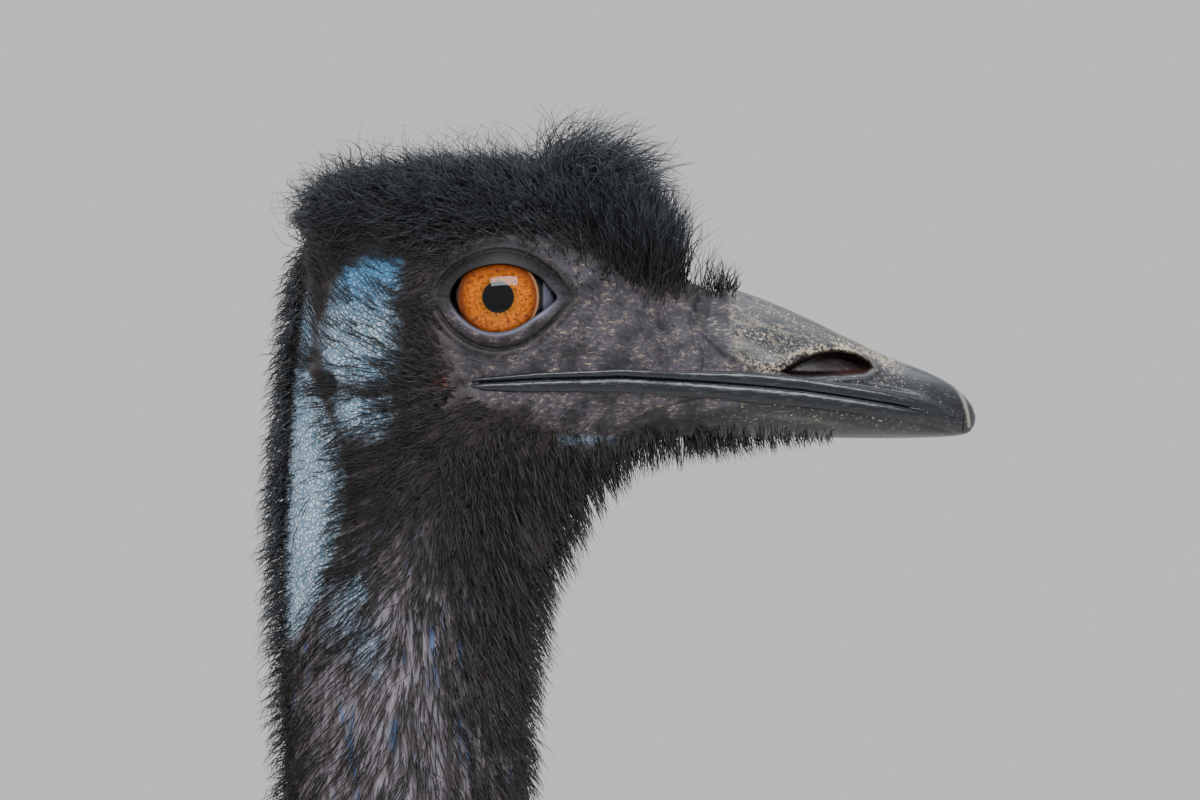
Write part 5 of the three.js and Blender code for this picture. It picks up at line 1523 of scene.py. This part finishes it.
def growFeathers(name, spec, root, normal, chart, share, rng):
    count, steps = len(root), spec["steps"]
    length = mix(*spec["length"], share) * rng.uniform(0.78, 1.16, count)
    sway = rng.normal(0, spec["sway"], count)
    stand = mix(*spec["stand"], share) * rng.uniform(0.35, 1.15, count)
    lift = rng.uniform(*spec["lift"], count)
    p, here = root.copy(), normal
    lines, ups = [root - normal * spec["sink"]], [normal]
    for k in range(1, steps + 1):
        way = unit(spec["lie"](p, here))
        way = unit(way + np.cross(way, here) * (sway * (0.6 + 0.8 * k / steps))[:, None])
        p = p + way * (length / steps)[:, None]
        place, here = nearest(p)
        want = mix(lift, stand, k / steps)
        height = dot(p - place, here)[:, 0]
        low = height < want
        p = np.where(low[:, None], place + here * want[:, None], p)
        lines.append(p)
        ups.append(here)
    lines, ups = np.stack(lines, 1), np.stack(ups, 1)
    t = np.linspace(0, 1, steps + 1)
    shade = rng.random(count)
    size, strength = spec["lock"]
    follows = lockLeaders(rng, root, size)
    pull = (strength * t ** 1.4)[None, :, None] * rng.uniform(0.3, 1.0, count)[:, None, None]
    lines = lines + (lines[follows] - lines) * pull
    shade = np.clip(mix(shade, shade[follows], 0.45), 0, 1)
    wave = rng.uniform(0, math.tau, count)[:, None] + t[None] * rng.uniform(0.6, 1.6, count)[:, None] * math.tau
    aside = unit(np.cross(np.gradient(lines, axis=1), ups))
    lines = lines + aside * (spec["wave"] * t[None] * np.sin(wave))[..., None]
    widths = mix(*spec["width"], share) * rng.uniform(0.6, 1.35, count)
    addCoat(name, lines, ups, widths, [plumageMaterial], spec["slot"], chart, shade, taper=1.5, flat=spec["flat"])


# Arc in degrees off the back; lengths, widths and heights over the body in mm, from the front of
# the stations to the back of them
bodyFeather = {
    "slot": "plumage", "lie": bodyLie, "steps": 5, "lift": (2, 12), "sink": 4, "lock": (10, 0.5),
    "wave": 5.0, "flat": 0.28,
}
featherSpecs = {
    "breast_low_neck": {
        "count": 3200, "stations": (21.8, 25.3), "arc": (0, 180), "steps": 4, "length": (62, 150),
        "width": (2.6, 4.6), "lift": (1, 6), "stand": (9, 21), "sink": 3, "sway": 0.16, "lock": (9, 0.45),
        "wave": 3.0, "flat": 0.3, "lie": neckLie, "slot": "neck_coat",
    },
    "back_and_flanks": {
        **bodyFeather, "count": 8360, "stations": (24.9, 33.2), "arc": (0, 150), "length": (150, 228),
        "width": (4.6, 5.6), "stand": (22, 33), "sway": 0.17,
    },
    "breast": {
        **bodyFeather, "count": 1330, "stations": (24.6, 29.4), "arc": (140, 180), "length": (150, 185),
        "width": (4.6, 5.4), "stand": (18, 26), "sway": 0.14, "steps": 4, "lift": (2, 10),
        "lock": (9, 0.45), "wave": 4.0,
    },
    "tail": {
        **bodyFeather, "count": 1510, "stations": (33.0, 35.9), "arc": (0, 128), "length": (215, 228),
        "width": (5.0, 5.6), "stand": (24, 34), "sway": 0.15,
    },
}
# A few wide, low blades under the feathers keep the body from showing through
underVane = {"share": 0.12, "width": 7.5, "short": 0.86, "low": 0.55}


def addPlumage(name, spec):
    rng = seeded(name)
    arc = np.radians(spec["arc"])
    count = countOf(spec)
    first, last = spec["stations"]
    vane = {
        **spec, "width": [w * underVane["width"] for w in spec["width"]], "flat": 0.07, "wave": 0.5,
        "length": [v * underVane["short"] for v in spec["length"]], "steps": 4, "lift": (1, 3),
        "stand": [v * underVane["low"] for v in spec["stand"]], "lock": (2, 0.0),
    }
    for sideName, side in sides.items():
        angles = tuple(arc) if side > 0 else (math.tau - arc[1], math.tau - arc[0])
        station, angle = pickRoots(rng, count // 2, (first, last), angles, lambda p, n: np.ones(len(p)))
        root, normal = skinAt(station, angle)[:2]
        share, chart = (station - first) / (last - first), chartOf(station, angle)
        growFeathers(f"plumes_{name}_{sideName}", spec, root, normal, chart, share, rng)
        few = rng.random(len(root)) < underVane["share"]
        picked = (each[few] for each in (root, normal, chart, share))
        growFeathers(f"vanes_{name}_{sideName}", vane, *picked, rng)


for name, spec in featherSpecs.items():
    addPlumage(name, spec)

thighSpec = {
    "count": 800, "steps": 4, "length": (128, 84), "width": (4.0, 3.2), "lift": (2, 6), "stand": (12, 15),
    "sink": 3, "sway": 0.12, "lock": (8, 0.4), "wave": 3.0, "flat": 0.3, "lie": legLie, "slot": "plumage",
    "from": 0.36, "to": 0.86,
}
for sideName, side in sides.items():
    rng = np.random.default_rng(coatSeed + 7 + side)
    count = countOf(thighSpec)
    share, turn = rng.random(count), rng.uniform(0, math.tau, count)
    levels = legLevels(side)["thigh"]
    level = splineAt(levels, mix(thighSpec["from"], thighSpec["to"], share) * (len(levels) - 1))
    root = np.stack([
        level[:, 0] + np.cos(turn) * level[:, 3], level[:, 1] + np.sin(turn) * level[:, 4], floorLevel + level[:, 2],
    ], -1)
    normal = unit(np.stack([np.cos(turn) / level[:, 3], np.sin(turn) / level[:, 4], 0 * turn], -1))
    chart = np.stack([0.93 + 0.03 * (side > 0) + 0.02 * share, 0.01 + 0.98 * turn / math.tau], -1)
    growFeathers(f"plumes_thigh_{sideName}", thighSpec, root, normal, chart, share, rng)
print("all coats:", sum(trianglesMade.values()), "triangles, most in one:", max(trianglesMade.values()))

# Stage

stageLook = {
    "floor": "#d9d6d0", "floorLight": "#e4e2dd", "mottle": 60.0, "backdrop": "#e9eaea", "backdropStrength": 0.85,
    "cameraAway": 1.2, "frameWide": 0.3, "frameMiddle": (24.75, 0, -25), "sensor": 36.0,
    "lightTint": (0.9, 0.95, 1.0), "floorReach": 6.0, "floorDrop": 0.0005,
}


# Painted studio floor: a matt, faintly mottled plaster-white
def matteFloor():
    look = stageLook
    made, tree, shader, place = startMaterial("matte_painted_floor", Roughness=0.85)
    grain = addNode(tree, "TexNoise", {"Vector": place, "Scale": 1 / look["mottle"], "Detail": 4.0})
    surface(tree, shader, layered(tree, look["floor"], (grain, look["floorLight"])))
    return made


def addFloor():
    around = 96
    turn = np.arange(around) / around * math.tau
    reach = np.linspace(0.01, stageLook["floorReach"], 12)[:, None]
    points, triangles = loft(np.stack([reach * np.cos(turn), reach * np.sin(turn), 0 * reach + 0 * turn], -1))
    mesh = bpy.data.meshes.new("floor")
    mesh.from_pydata(points.tolist(), [], triangles[:-around].tolist())
    mesh.materials.append(matteFloor())
    made = bpy.data.objects.new("floor", mesh)
    made.location.z = -stageLook["floorDrop"]
    bpy.context.scene.collection.objects.link(made)


def addLight(name, at, size, watts, target):
    light = bpy.data.lights.new(name, "AREA")
    light.shape, light.size, light.size_y, light.energy = "RECTANGLE", size[0], size[1], watts
    light.color = stageLook["lightTint"]
    made = bpy.data.objects.new(name, light)
    made.location = at
    made.rotation_euler = (Vector(target) - Vector(at)).to_track_quat("-Z", "Y").to_euler()
    made.visible_camera = False
    bpy.context.scene.collection.objects.link(made)


addFloor()
addLight("top_softbox", (0.1, 0.4, 4.2), (3.6, 3.2), 70, (0.1, 0, 1.2))
addLight("front_softbox", (0.85, -2.75, 3.35), (3.0, 1.0), 105, (0.2, 0, 1.4))
addLight("back_softbox", (-2.2, 2.2, 2.6), (2.0, 1.6), 45, (0, 0, 1.2))
world = bpy.data.worlds.new("pale_studio")
world.use_nodes = True
backdrop = world.node_tree.nodes["Background"]
backdrop.inputs["Color"].default_value = linear(stageLook["backdrop"])
backdrop.inputs["Strength"].default_value = stageLook["backdropStrength"]
bpy.context.scene.world = world

frameMiddle = toWorld(stageLook["frameMiddle"])
camera = bpy.data.objects.new("camera", bpy.data.cameras.new("camera"))
camera.data.sensor_width = stageLook["sensor"]
camera.data.lens = stageLook["sensor"] * stageLook["cameraAway"] / stageLook["frameWide"]
camera.location = (frameMiddle[0], frameMiddle[1] - stageLook["cameraAway"], frameMiddle[2])
camera.rotation_euler = (math.pi / 2, 0, 0)
bpy.context.scene.collection.objects.link(camera)
bpy.context.scene.camera = camera
print("stage ready")
